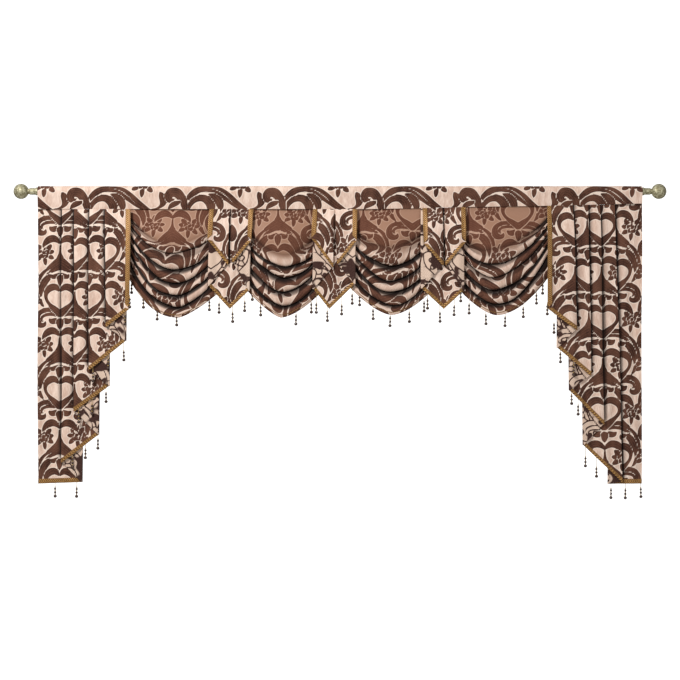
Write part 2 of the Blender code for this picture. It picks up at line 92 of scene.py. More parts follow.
# One row for each fold of a pleated piece, along the cut cloth from one free edge to the
# other, in mm: x at the seam, x at the hem and z at the hem.
TAIL_LEFT_FOLDS = (
    (-865, -865, -487),
    (-971, -962, -561),
    (-877, -881, -619),
    (-1034, -1037, -739),
    (-935, -950, -806),
    (-1099, -1098, -909),
    (-990, -993, -1006),
    (-1149, -1151, -1122),
    (-1057, -1066, -1203),
    (-1250, -1250, -1209),
)
TAIL_RIGHT_FOLDS = (
    (855, 855, -485),
    (962, 977, -574),
    (890, 893, -648),
    (1026, 1034, -761),
    (942, 942, -823),
    (1076, 1089, -964),
    (997, 1003, -1049),
    (1137, 1169, -1202),
    (1098, 1107, -1210),
    (1250, 1248, -1209),
)
JABOT_1_FOLDS = (
    (-540, -546, -201),
    (-455, -461, -305),
    (-536, -544, -392),
    (-453, -453, -487),
    (-364, -372, -412),
    (-447, -443, -295),
    (-357, -365, -205),
)
JABOT_2_FOLDS = (
    (-112, -120, -195),
    (-25, -29, -315),
    (-108, -112, -404),
    (-36, -43, -487),
    (66, 64, -386),
    (-17, -12, -302),
    (72, 68, -205),
)
JABOT_3_FOLDS = (
    (341, 343, -218),
    (424, 425, -307),
    (335, 333, -402),
    (428, 428, -487),
    (513, 511, -414),
    (434, 434, -307),
    (519, 518, -210),
)

# How many layers in front of the rearmost one each panel between two folds hangs.
TAIL_LEVELS = (8, 7, 6, 5, 4, 3, 2, 1, 0)
JABOT_LEVELS = (2, 1, 0, 0, 1, 2)

# How the layers open below the seam: the rearmost layer's place at the seam and further
# down, the distance between layers at both, and the drop over which they change.
TAIL_STACK = {"back_top": 3 * MM, "back_low": 4 * MM, "pitch_top": 2.4 * MM,
              "pitch_low": 7.2 * MM, "opens_over": 120 * MM}
JABOT_STACK = {"back_top": 9 * MM, "back_low": 36 * MM, "pitch_top": 2.4 * MM,
               "pitch_low": 7.4 * MM, "opens_over": 60 * MM}

# Tassels of a pleated piece: the panel they hang from, x and the z of the lowest bead, in mm.
TAIL_LEFT_TASSELS = (
    (0, -884, -556),
    (2, -890, -704),
    (2, -955, -736),
    (2, -1022, -790),
    (4, -961, -876),
    (4, -1022, -925),
    (4, -1082, -960),
    (6, -996, -1069),
    (6, -1048, -1108),
    (6, -1106, -1146),
    (8, -1088, -1269),
    (8, -1179, -1268),
)
TAIL_RIGHT_TASSELS = (
    (0, 882, -591),
    (2, 904, -712),
    (2, 962, -764),
    (4, 951, -884),
    (4, 979, -928),
    (6, 1013, -1142),
    (6, 1059, -1185),
    (8, 1117, -1274),
    (8, 1178, -1275),
    (8, 1243, -1270),
)
JABOT_1_TASSELS = (
    (2, -499, -508),
    (3, -441, -546),
    (3, -388, -501),
)
JABOT_2_TASSELS = (
    (2, -99, -508),
    (2, -52, -542),
    (3, 11, -515),
    (3, 55, -471),
)
JABOT_3_TASSELS = (
    (2, 359, -491),
    (2, 410, -545),
    (3, 474, -518),
    (3, 500, -461),
)

# Where the damask lies on a pleated piece: the panel, the x of a heart's axis on it in mm,
# and which column of hearts that is, counted along the cut. Where two rows meet, the cloth
# lies hidden in the folds.
TAIL_LEFT_AXES = ((0, -978, 1), (2, -1036, 2), (4, -1098, 3), (6, -1158, 4), (8, -1156, 6))
TAIL_RIGHT_AXES = ((0, 964, 0), (2, 1022, 1), (4, 1078, 2), (6, 1076, 4), (8, 1137, 5))
JABOT_1_AXES = ((0, -573, 0),)
JABOT_2_AXES = ((0, -128, 0),)
JABOT_3_AXES = ((0, 322, 1),)

# The pleated pieces: name, folds, levels, stack, tassels, the z of the lowest bead of each
# tassel on the first free edge, axes, and the repeat's place at the seam, in mm.
PLEATED = (
    ("tail_left", TAIL_LEFT_FOLDS, TAIL_LEVELS, TAIL_STACK, TAIL_LEFT_TASSELS, (-480,),
     TAIL_LEFT_AXES, 139),
    ("tail_right", TAIL_RIGHT_FOLDS, TAIL_LEVELS, TAIL_STACK, TAIL_RIGHT_TASSELS, (-509,),
     TAIL_RIGHT_AXES, 52),
    ("jabot_1", JABOT_1_FOLDS, JABOT_LEVELS, JABOT_STACK, JABOT_1_TASSELS, (), JABOT_1_AXES, 112),
    ("jabot_2", JABOT_2_FOLDS, JABOT_LEVELS, JABOT_STACK, JABOT_2_TASSELS, (), JABOT_2_AXES, 350),
    ("jabot_3", JABOT_3_FOLDS, JABOT_LEVELS, JABOT_STACK, JABOT_3_TASSELS, (), JABOT_3_AXES, 100),
)

# One row for each crease of a swag: its height at the left end, the x and the height of its
# lowest point and its height at the right end, in mm, then how deep it is at the left end,
# in the middle and at the right end, from 0 to 1.
SWAG_1_CREASES = (
    (-80, -694, -222, -119, 1.0, 0.2, 0.1),
    (-100, -690, -254, -160, 1.0, 0.5, 0.6),
    (-127, -682, -317, -206, 1.0, 1.0, 1.0),
    (-156, -674, -371, -250, 1.0, 1.0, 1.0),
    (-190, -672, -425, -292, 1.0, 1.0, 1.0),
    (-235, -670, -472, -340, 1.0, 1.0, 0.8),
    (-320, -665, -523, -408, 0.3, 0.2, 0.3),
)
SWAG_2_CREASES = (
    (-122, -224, -263, -138, 0.8, 0.3, 0.8),
    (-170, -226, -307, -200, 1.0, 1.0, 1.0),
    (-214, -228, -350, -238, 1.0, 1.0, 1.0),
    (-264, -232, -408, -282, 1.0, 0.9, 1.0),
    (-312, -236, -470, -328, 1.0, 1.0, 0.9),
    (-379, -243, -523, -396, 0.3, 0.2, 0.3),
)
SWAG_3_CREASES = (
    (-108, 204, -237, -128, 0.8, 0.3, 0.8),
    (-158, 206, -300, -180, 1.0, 1.0, 1.0),
    (-198, 208, -360, -242, 1.0, 1.0, 1.0),
    (-240, 210, -412, -290, 1.0, 1.0, 1.0),
    (-297, 211, -466, -338, 1.0, 0.9, 1.0),
    (-371, 211, -512, -396, 0.3, 0.2, 0.3),
)
SWAG_4_CREASES = (
    (-127, 604, -246, -88, 0.8, 0.3, 1.0),
    (-168, 612, -296, -116, 1.0, 0.8, 1.0),
    (-206, 622, -346, -146, 0.8, 0.7, 1.0),
    (-252, 634, -402, -180, 1.0, 1.0, 1.0),
    (-309, 640, -460, -222, 1.0, 1.0, 1.0),
    (-375, 645, -513, -318, 0.3, 0.2, 0.3),
)

# The swags: name, creases, the x of the left and the right end, how bluntly the hem's curve
# meets its lowest point from the left and from the right, the repeat's place at the middle
# of the top, how far the damask slants for each step down below the first crease, the
# tassels as x and the z of the lowest bead, and how far the braid shows below the hem at
# the left end, in the middle and at the right end. All lengths are in mm.
SWAGS = (
    ("swag_1", SWAG_1_CREASES, -894, -488, 2.25, 1.35, (203, 48), 0.25,
     ((-862, -426), (-813, -487), (-753, -536), (-673, -560), (-539, -497)), (0, 0, 0)),
    ("swag_2", SWAG_2_CREASES, -412, -58, 1.35, 1.60, (21, 288), -0.3,
     ((-363, -455), (-329, -519), (-180, -556), (-118, -507)), (0, 0, 0)),
    ("swag_3", SWAG_3_CREASES, 16, 393, 1.55, 1.70, (108, 294), 0.35,
     ((80, -477), (135, -534), (207, -563), (286, -546), (348, -502)), (0, 0, 0)),
    ("swag_4", SWAG_4_CREASES, 463, 881, 1.55, 1.85, (140, 287), -0.25,
     ((532, -511), (600, -555), (681, -563), (756, -526), (812, -470), (839, -429)), (0, 0, 12)),
)

# Soft waves of the cloth, each as its size and the length over which its angle turns by
# one. A wander is a wave that bends another one, and its size is an angle.
SLOW_BOW = (3.6 * MM, 17 * MM)
SLOW_WANDER = (1.3, 260 * MM)
QUICK_BOW = (1.4 * MM, 6.3 * MM)
QUICK_WANDER = (2.0, 170 * MM)
OWN_BOW = (0.6 * MM, 85 * MM)
PLEAT_SWAY = (1.6 * MM, 140 * MM)
SWAG_RIPPLE = (0.7 * MM, 13 * MM)
HEADING_SWELL = (1.5 * MM, 58 * MM)
SWELL_WANDER = (0.7, 210 * MM)
SEAM_PUCKER = (0.55 * MM, 7.5 * MM)
PUCKER_WANDER = (1.5, 43 * MM)
ROD_RIPPLE = (0.5 * MM, 15 * MM)
ROD_WANDER = (2.0, 120 * MM)

# How those waves turn from layer to layer and across, and the lengths over which they grow.
OWN_BOW_TURN = 1.9
OWN_BOW_ACROSS = 40 * MM
PLEAT_SWAY_TURN = 1.7
SWAG_RIPPLE_ACROSS = 21 * MM
BOW_OPENS_OVER = 90 * MM
SWAG_RIPPLE_OVER = 60 * MM
HEADING_SWELL_OVER = 40 * MM
PUCKER_OVER = 16 * MM

# How far the waves of one piece stand on from those of the piece before it.
PLEATED_TURN = 0.9
SWAG_TURN = 1.1

# The heading: the repeat's place at its left end in mm, how far the cloth lies above the
# pocket's circle at its top, the height at which it does, and the points of its section.
HEADING_PATTERN = (-106, 7)
HEADING_LIFT = 2.5 * MM
HEADING_TOP = 18 * MM
POCKET_FRONT_POINTS = 14
POCKET_ARC_POINTS = 15
POCKET_BACK_POINTS = 9
FRONT_POINT = 5

# The swags: how bluntly the first crease meets its lowest point, the cloth's place at the
# seam, and how far the folds reach out at the ends and in the middle.
FLAT_TOP_BLUNT = 1.9
SWAG_BACK = 4.5 * MM
SWAG_END_FORWARD = 10 * MM
SWAG_MID_FORWARD = 50 * MM
SWAG_FORWARD_POWER = 1.35
SWAG_FORWARD_OVER = 120 * MM

# How a crease strays from its curve, and the waves that it strays in: size, angle across
# the swag, turn from crease to crease, and how much of the swag's own phase they take.
CREASE_WANDER = 2.6 * MM
CREASE_WAVES = ((1.0, 9.0, 2.1, 1.0), (0.6, 19.0, 1.3, 0.0))
WANDER_ENDS = 0.8

# How deep a crease may be, as a share of the reach and of the distance between creases, how
# far a fold's lip hangs over it, and how quickly the cloth turns into it.
CREASE_SHARE = 0.72
CREASE_RATIO = 0.62
LIP_DROP = 2.1
LIP_FULL_DEPTH = 20 * MM
LIP_RISE = 4
LIP_FALL = 0.8
UPPER_TURN = 2.4
LOWER_TURN = 8

# A dent along each fold towards the swag's ends.
NOTCH_DEPTH = 0.6
NOTCH_POWER = 1.6
NOTCH_PLACE = 0.46
NOTCH_WIDTH = 0.10
NOTCH_WANDER = 0.09
NOTCH_TURN = 2.7

# The painted tones of the swags: how the painted shade of a crease and of a dent fades, the
# painted shade of the folds, how soon the flat top's painted shade gives way to it, and the
# painted highlight along a fold's ridge.
DARK_TURN = 1.35
NOTCH_DARK = 0.8
FOLD_PAINTED_SHADE = 0.3
FLAT_FADE = 1.6
RIDGE_PLACE = 0.7
RIDGE_WIDTH = 0.14

# The damask on the swags' folds: its size and the drop over which it comes to that, where
# on a fold it is measured, and the drop over which it turns to follow the first fold.
FOLD_PATTERN_SIZE = 0.8
FOLD_PATTERN_OVER = 60 * MM
PATTERN_RIDGE = 0.6
PATTERN_TURNS_OVER = 30 * MM

# The cloth beside a fold that lies over it: how far its shade reaches, how dark it is and
# over which length it ends at the fold's hem. Layers nearer the wall than the last value
# hang behind the seam, and their top edges tuck up behind it.
FOLD_SHADE_REACH = 11 * MM
FOLD_SHADE = 0.85
FOLD_SHADE_ENDS = 30 * MM
BEHIND_SEAM = 6.5 * MM

# The braid's relief: its gap to the cloth, its base, its cords, and the knots along them.
BRAID_GAP = 0.25 * MM
BRAID_BASE = 0.45 * MM
BRAID_RELIEF = 0.75 * MM
BRAID_CORDS = 3
BRAID_CORD_POWER = 0.7
KNOT_STEP = 7.8 * MM
KNOT_SLANT = 9.0
KNOT_LOW = 0.72

# The braid behind a swag's hem: how far it reaches up, its gap, and its relief's share.
SWAG_BRAID_REACH = 13 * MM
SWAG_BRAID_LIFT = 0.9 * MM
SWAG_BRAID_RELIEF = 0.55

# The beads of a tassel from the lowest up: radius and height above the lowest point in mm,
# the material's number and the sides.
BEADS = (
    (7.0, 7.0, 2, 12),
    (3.1, 16.2, 1, 8),
    (5.3, 23.2, 2, 12),
    (3.1, 30.6, 1, 8),
    (5.0, 37.4, 2, 12),
    (3.0, 44.4, 1, 8),
)
BEAD_HEIGHT = 0.94
BEAD_DENT = 0.92
THREAD_RADIUS = 1.0 * MM
THREAD_SIDES = 6
TASSEL_LEAN = 1.4 * MM
TASSEL_TURN = 2.3

# Where the tassels hang: how far they overlap the hem, and their place before or behind it.
TASSEL_OVERLAP = 3 * MM
TASSEL_LIFT = 2.0 * MM
EDGE_TASSEL_LENGTH = 50 * MM
EDGE_TASSEL_DROP = 6 * MM
EDGE_TASSEL_OUT = 1.0 * MM
EDGE_TASSEL_FORWARD = 1.5 * MM
SWAG_TASSEL_OVERLAP = 4 * MM
SWAG_TASSEL_BEHIND = 1.6 * MM

# The grids' cells and rows. A last row shorter than this share of a cell is left out, and an
# edge is sharp where its faces turn by more than these degrees.
SHORTEST_ROW = 0.35
SHARP_DEGREES = 62
PLEAT_CELL = 5.4 * MM
PLEAT_ROW = 5.2 * MM
JABOT_CELL = 4.2 * MM
FOLD_ARC_STEPS = 5
SEAM_ROWS = 16
SWAG_CELL = 3.6 * MM
SWAG_TOP_ROWS = 34
SWAG_FOLD_ROWS = 23
HEADING_CELL = 5.5 * MM
BRAID_STEP = 2.6 * MM
BRAID_ACROSS = 9

# The damask's repeat, the step to the next column and heart, how far its fields reach
# outside a motif and the width of the pale outlines, in mm.
REPEAT_WIDTH = 405
REPEAT_HEIGHT = 381
COLUMN_STEP = 202.5
HEART_STEP = 190.5
FIELD_FLOOR = -9.0
LEAF_OUTLINE = 3.6
PETAL_OUTLINE = 2.4

# Strokes of the right half of one column, in mm from its axis and down from the apex above
# its closed heart. Each later stroke lies over the earlier ones with a pale outline, and
# a cut is a pale line through what is there. Only the hills merge with the leaves. The
# columns are x, y and half width.
LEAVES = (
    # Wide leaf from the hill around the closed heart.
    ((0, -8, 17), (24, 0, 16), (50, 13, 15), (74, 36, 17), (88, 67, 17), (93, 99, 15), (89, 128, 11),
     (78, 150, 7), (64, 166, 1)),
)
HILLS = (
    # Stem through the open heart, and the flank of the hill that it stands on.
    ((0, 262, 4), (0, 300, 4), (0, 322, 7), (0, 338, 14), (0, 353, 21), (0, 366, 26)),
    ((8, 360, 20), (24, 370, 17), (44, 385, 15)),
)
LEAF_CUTS = (
    ((34, 2, 0.8), (60, 20, 2.3), (80, 52, 2.8), (86, 92, 2.4), (84, 124, 0.8)),
)
HEART_LEAVES = (
    # Leaf inside the wide leaf.
    ((28, 32, 3), (44, 37, 11), (62, 52, 15), (75, 75, 14), (82, 100, 9), (80, 124, 1)),
    # Curls and buds under both saddles.
    ((4, 24, 4), (15, 33, 10), (30, 37, 9), (38, 29, 2)),
    ((0, 42, 14), (0, 57, 11), (0, 74, 1)),
    ((6, 212, 5), (18, 219, 12), (34, 221, 11), (46, 212, 3)),
    ((0, 223, 14), (0, 238, 11), (0, 254, 1)),
    # Saddle under the closed heart, with a volute at its end.
    ((0, 190, 16), (26, 184, 16), (52, 182, 18), (78, 190, 18), (91, 209, 18), (86, 229, 18), (69, 233, 12),
     (64, 221, 4)),
    # Lobe over the closed heart, which narrows along its side.
    ((2, 99, 2), (10, 87, 9), (24, 79, 14), (43, 84, 15), (57, 99, 11), (61, 117, 8), (56, 135, 7),
     (42, 153, 8), (24, 169, 12), (0, 189, 15)),
    # Lobe that droops over the open heart.
    ((2, 281, 3), (12, 268, 10), (29, 260, 15), (49, 265, 15), (66, 281, 9), (75, 298, 1)),
)
VOLUTE_CUTS = (
    ((30, 187, 0.7), (54, 185, 1.9), (78, 195, 2.2), (85, 210, 0.7)),
    ((63, 219, 2.2), (71, 225, 2.8), (79, 223, 2.4), (83, 214, 0.8)),
)

# Rose sprays beside the open heart, and each petal's direction in degrees, start, length
# and half width. The profile is a petal's width along its length.
ROSE_MIDDLES = ((68, 320), (-74, 314))
ROSE_SIZE = 1.1
ROSE_PETALS = (
    (-96, 15, 33, 8), (-42, 16, 27, 9), (-150, 16, 27, 9), (4, 17, 22, 8), (170, 16, 23, 9),
    (50, 16, 25, 9), (92, 16, 28, 9), (132, 16, 27, 9),
    (90, 3, 16, 9), (162, 3, 15, 9), (18, 3, 16, 9), (234, 3, 15, 9), (306, 3, 16, 9),
    (40, 0, 8, 6),
)
PETAL_PROFILE = ((0.0, 0.4), (0.3, 1.0), (0.65, 0.85), (1.0, 0.1))

# The heading's band of scrolls, which repeats over the same width, in mm down from its top.
BAND_HEIGHT = 240
BAND_LEAVES = (
    # Leaf on a thin stem, left of the scroll.
    ((-56, 112, 4), (-22, 109, 4), (0, 97, 8), (9, 78, 15), (3, 57, 13), (-5, 40, 2)),
    # Arch that falls away to the right.
    ((96, 112, 7), (104, 82, 10), (122, 55, 13), (152, 35, 16), (192, 28, 18), (236, 37, 19), (276, 62, 19),
     (314, 92, 15), (356, 118, 8)),
)
BAND_CUTS = (
    ((132, 66, 0.8), (160, 46, 2.2), (198, 42, 2.8), (234, 58, 2.6), (254, 84, 0.8)),
    ((190, 22, 0.7), (232, 33, 1.9), (272, 60, 2.2), (302, 92, 0.8)),
)
BAND_INNER = (
    # Inner leaf of the arch, with a rounded end.
    ((110, 114, 6), (122, 88, 10), (144, 70, 12), (174, 66, 15), (199, 82, 19), (206, 101, 18),
     (203, 112, 10)),
    # Leaf between the arch and its inner leaf.
    ((198, 48, 3), (219, 58, 12), (238, 78, 16), (245, 100, 13), (240, 116, 3)),
    # Curl left of the arch.
    ((100, 120, 9), (95, 92, 15), (85, 66, 18), (66, 44, 20), (43, 41, 19), (30, 58, 16), (38, 75, 11),
     (53, 70, 3)),
    # Leaf under the curl.
    ((28, 110, 2), (42, 96, 10), (58, 88, 11), (70, 84, 8), (78, 76, 1)),
)
BAND_ROSE = (330.0, 4.0)
BAND_ROSE_SIZE = 1.25

# Colours, as sRGB values from 0 to 255.
GROUND_DULL = (208, 175, 156)
GROUND_LIGHT = (240, 215, 198)
GROUND_CREAM = (238, 218, 202)
BROWN = (44, 25, 19)
BROWN_LIGHT = (122, 80, 62)
# Painted sheen on the motif.
BROWN_SHEEN = (124, 84, 66)
# Painted shade on the swags' flat tops and, more faintly, on their folds.
SHADED_GROUND = (160, 121, 99)
SHADED_CREAM = (184, 148, 126)
SHADED_BROWN = (88, 52, 39)
SHADED_LIGHT = (128, 84, 64)
# Painted highlight on the swags' ridges, and painted shade in creases and beside folds.
RIDGE_HIGHLIGHT_GROUND = (226, 200, 180)
RIDGE_HIGHLIGHT_BROWN = (124, 82, 64)
PAINTED_SHADE_COLOUR = (20, 11, 9)
REVERSE_LIGHT = (232, 206, 186)
REVERSE_SHADE = (150, 118, 98)
REVERSE_DULL = (206, 176, 154)
REVERSE_DARK = (52, 32, 28)
REVERSE_BROWN = (84, 58, 50)
# On the braid, the dark gold in the grooves is painted shade and the light gold on the cords' crests a
# painted highlight; on the thread they are its own tones.
GOLD = (206, 150, 74)
GOLD_LIGHT = (240, 206, 132)
GOLD_DARK = (92, 56, 22)
BEAD_BROWN = (44, 26, 20)
BEAD_LIGHT = (88, 60, 42)
CHAMPAGNE = (206, 200, 168)
CHAMPAGNE_DARK = (142, 134, 102)
FLOOR = (236, 234, 230)
FLOOR_GREY = (228, 226, 222)
WHITE = (255, 255, 255)

# Noises of the looks: scale, detail, and how much finer they are along each axis.
EVEN = (1.0, 1.0, 1.0)
NOISES = {
    "jagged": (700.0, 1.0, EVEN),
    "uneven": (260.0, 3.0, EVEN),
    "slub": (90.0, 3.0, (6.0, 0.5, 1.0)),
    "cloud": (14.0, 2.0, EVEN),
    "fade": (42.0, 1.0, (1.0, 0.25, 1.0)),
    "grain": (420.0, 2.0, (1.0, 0.35, 1.0)),
    "patch": (16.0, 1.0, EVEN),
    "reverse_grain": (300.0, 3.0, EVEN),
    "fibre": (900.0, 2.0, EVEN),
    "thread": (700.0, 2.0, (1.0, 1.0, 0.4)),
    "bead": (500.0, 3.0, EVEN),
    "mottle": (130.0, 4.0, EVEN),
    "floor": (3.0, 2.0, EVEN),
}

# Limits between which a value of the looks goes from the start of a ramp to its end.
RAMPS = {
    "whole": (0.0, 1.0),
    "motif": (-0.4, 0.4),
    "outline": (-3.6, -2.0),
    "satin": (0.4, 0.6),
    "fade": (0.35, 0.65),
    "grain": (0.2, 0.7),
    # The painted sheen, the painted shade in creases and beside folds, and the painted highlight on ridges.
    "sheen": (0.42, 0.62),
    "sunk": (0.12, 0.6),
    "ridge": (0.0, -1.0),
    "reverse_motif": (0.6, 1.6),
    "reverse_ground": (-3.4, -4.6),
    "reverse_grain": (0.35, 0.75),
    "patch": (0.52, 0.56),
    "rim": (6.0 * MM, 7.6 * MM),
    "fibre": (0.25, 0.75),
    "gold": (0.06, 0.4),
    "gold_light": (0.34, 0.72),
    "thread": (0.35, 0.7),
    "bead": (0.35, 0.75),
    "mottle": (0.4, 0.6),
    "worn": (0.3, 0.7),
}

# Reliefs of the looks: strength, and height in mm.
BUMPS = {
    "ribs": (0.35, 0.25),
    "uneven": (0.25, 0.6),
    "motif": (0.5, 0.4),
    "braid": (0.7, 0.9),
    "thread": (0.5, 0.3),
    "bead": (0.2, 0.2),
    "fine": (0.15, 0.3),
    "mottle": (0.35, 0.8),
}

# The weave's ribs, the stripes along the middle of a motif's strokes in mm, and the shares
# that noises and stripes have in the tones of the satin and of the motif, then the shares of
# the painted sheen on the motif, of the painted highlight on the swags' ridges and of the
# painted shade in creases and beside folds.
WARP_RIB = 1.1 * MM
WEFT_RIB = 0.9 * MM
BROAD_STRIPE = 9.0
THIN_STRIPE = 3.0
REVERSE_STRIPE = 5.2
STRIPE_WANDER = 9.0
SATIN_SHARES = (0.55, 0.45)
STRIPE_SHARES = (0.42, 0.3, 0.3)
SHEEN_SHARE = 0.4
RIDGE_HIGHLIGHT_SHARE = 0.12
PAINTED_SHADE_SHARE = 0.96

# The braid's look: the steps of its twist, cords and edge loops, the twist's slant, and how
# much the loops darken its edges.
BRAID_TWIST = 8.6 * MM
BRAID_CORD = 5.0 * MM
BRAID_LOOP = 8.0 * MM
BRAID_SLANT = 1.1
LOOP_SHARE = 0.7

# Where the camera stands: the frame's middle and width in the plane of the cloth.
VIEW_MIDDLE_Z = -0.615
VIEW_WIDTH = 2.806
VIEW_DISTANCE = 10.0
CLOTH_PLANE_Y = -0.03
SENSOR_WIDTH = 36.0
VIEW_END = 60.0

# The stage: places and sizes in metres, and each light's name, place, power in watts and
# size. The lights look at one point.
FLOOR_PLACE = (0.0, 0.0, -2.3)
FLOOR_SIZE = (8.0, 3.8)
BACKDROP_PLACE = (0.0, 14.0, VIEW_MIDDLE_Z)
BACKDROP_SIZE = (9.0, 9.0)
WORLD_STRENGTH = 0.22
LIT_MIDDLE = (0.0, 0.0, -0.5)
LIGHTS = (
    ("key", (-2.7, -3.9, 3.0), 302.0, 1.0),
    ("fill", (3.2, -4.6, 0.6), 62.0, 2.5),
)


def mix(start, end, share):
    """The value a share of the way from start to end."""
    return start + (end - start) * share


def ease(value):
    """A smooth step from 0 to 1."""
    value = np.clip(value, 0.0, 1.0)
    return value * value * (3.0 - 2.0 * value)


def swell(wave, place, phase=0.0):
    """A soft wave's value at a place, from its size and its length."""
    size, length = wave
    return size * np.sin(place / length + phase)


def bell(value, middle, width):
    """A smooth bump of height 1 around a middle value."""
    return math.exp(-((value - middle) / width) ** 2)


def unit(vectors):
    """Vectors at length 1."""
    return vectors / np.maximum(np.linalg.norm(vectors, axis=-1, keepdims=True), 1e-12)


def linear(colour):
    """A colour from 0 to 255 in sRGB as linear values, with full alpha."""
    values = []
    for value in colour:
        value = value / 255
        values.append(value / 12.92 if value <= 0.04045 else ((value + 0.055) / 1.055) ** 2.4)
    return (*values, 1.0)


def smooth_path(points, spacing):
    """Points close together on a smooth curve through some points, with their half widths."""
    rows = np.array(points, float)
    rows = np.vstack([2 * rows[0] - rows[1], rows, 2 * rows[-1] - rows[-2]])
    path = []
    for before, start, end, after in zip(rows, rows[1:], rows[2:], rows[3:]):
        count = max(int(np.hypot(*(end - start)[:2]) / spacing), 2)
        t = np.linspace(0, 1, count, endpoint=False)[:, None]
        path.append(0.5 * (2 * start + (end - before) * t
                           + (2 * before - 5 * start + 4 * end - after) * t ** 2
                           + (3 * start - before - 3 * end + after) * t ** 3))
    path.append(rows[-2][None, :])
    return np.vstack(path)


def seam_height(x):
    """The height of the heading's seam at x."""
    line = np.array(SEAM_LINE) * MM
    return np.interp(x, line[:, 0], line[:, 1])


def hung_top(x):
    """The height of the top edge of what hangs from the seam at x."""
    return seam_height(x) - SEAM_GAP


class Damask:
    """One repeat of a pattern, as fields on a grid of 1 mm.

    The depth is the distance inside a motif's edge, and negative outside. The flow is the
    distance from the middle line of the stroke.
    """

    def __init__(self, height):
        self.depth = np.full((height, REPEAT_WIDTH), FIELD_FLOOR)
        self.flow = np.zeros((height, REPEAT_WIDTH))

    def draw(self, strokes, places, outline):
        """Lay each stroke over what is drawn, at places given as (side, x, y)."""
        for stroke in strokes:
            self.overlay([(stroke, *place) for place in places], outline)

    def draw_rose(self, middles, size):
        """Lay a rose spray over what is drawn, around each middle."""
        for degrees, start, length, half in ROSE_PETALS:
            angle = math.radians(degrees)
            stroke = [(size * (start + length * along) * math.cos(angle),
                       -size * (start + length * along) * math.sin(angle), size * half * wide)
                      for along, wide in PETAL_PROFILE]
            self.overlay([(stroke, 1, x, y) for x, y in middles], PETAL_OUTLINE)

    def overlay(self, copies, outline):
        """Draw copies of a stroke with an outline, or cut them out where there is none."""
        fresh = np.full(self.depth.shape, FIELD_FLOOR)
        flow = np.zeros(self.depth.shape)
        for stroke, side, across, down in copies:
            points = [(side * x + across, y + down, half) for x, y, half in stroke]
            self.lay(smooth_path(points, 1.0), fresh, flow)
        if outline is None:
            self.depth = np.minimum(self.depth, -fresh)
            return
        self.depth = np.maximum(fresh, np.minimum(self.depth, -fresh - outline))
        self.flow = np.where(fresh > 0, flow, self.flow)

    def lay(self, path, depth_field, flow_field):
        """Draw one path into two fields, as a disc at each of its points."""
        height, width = depth_field.shape
        tangent = np.gradient(path[:, :2], axis=0)
        tangent /= np.maximum(np.hypot(tangent[:, 0], tangent[:, 1]), 1e-6)[:, None]
        for (x, y, half), (way_x, way_y) in zip(path, tangent):
            reach = int(max(half, 0) - FIELD_FLOOR)
            columns = np.arange(int(x) - reach, int(x) + reach + 2)
            rows = np.arange(int(y) - reach, int(y) + reach + 2)
            across = columns[None, :] - x
            down = rows[:, None] - y
            depth = half - np.hypot(across, down)
            place = np.ix_(rows % height, columns % width)
            better = depth > depth_field[place]
            depth_field[place] = np.where(better, depth, depth_field[place])
            flow_field[place] = np.where(better, across * way_y - down * way_x, flow_field[place])

    def read(self, field, u, v):
        """A field's values at places on the cloth, in metres."""
        height, width = field.shape
        column, row = u / MM, v / MM
        left, top = np.floor(column).astype(int), np.floor(row).astype(int)
        lines = [mix(field[line % height, left % width], field[line % height, (left + 1) % width],
                     column - left) for line in (top, top + 1)]
        return mix(*lines, row - top)

    def attributes(self, u, v, shade, painted_shade_and_highlight):
        """The values that the cloth's material reads at each point."""
        return {"damask_depth": self.read(self.depth, u, v), "damask_flow": self.read(self.flow, u, v),
                "shade": shade, "painted_shade_and_highlight": painted_shade_and_highlight, "flat": np.stack([u, v, np.zeros_like(u)], axis=-1)}


def heart_damask():
    """The damask of hearts, volutes and roses."""
    damask = Damask(REPEAT_HEIGHT)
    middles = [(column * COLUMN_STEP, column * HEART_STEP) for column in (0, 1)]
    halves = [(side, *middle) for side in (1, -1) for middle in middles]
    damask.draw(LEAVES, halves, LEAF_OUTLINE)
    damask.draw(HILLS, halves, 0.0)
    damask.draw(LEAF_CUTS, halves, None)
    damask.draw_rose([(x + across, y + down) for x, y in ROSE_MIDDLES for across, down in middles], ROSE_SIZE)
    damask.draw(HEART_LEAVES, halves, LEAF_OUTLINE)
    damask.draw(VOLUTE_CUTS, halves, None)
    return damask


def band_damask():
    """The band of arches and curls that runs along the heading."""
    damask = Damask(BAND_HEIGHT)
    for strokes, outline in ((BAND_LEAVES, LEAF_OUTLINE), (BAND_CUTS, None), (BAND_INNER, LEAF_OUTLINE)):
        damask.draw(strokes, [(1, 0, 0)], outline)
    damask.draw_rose([BAND_ROSE], BAND_ROSE_SIZE)
    return damask


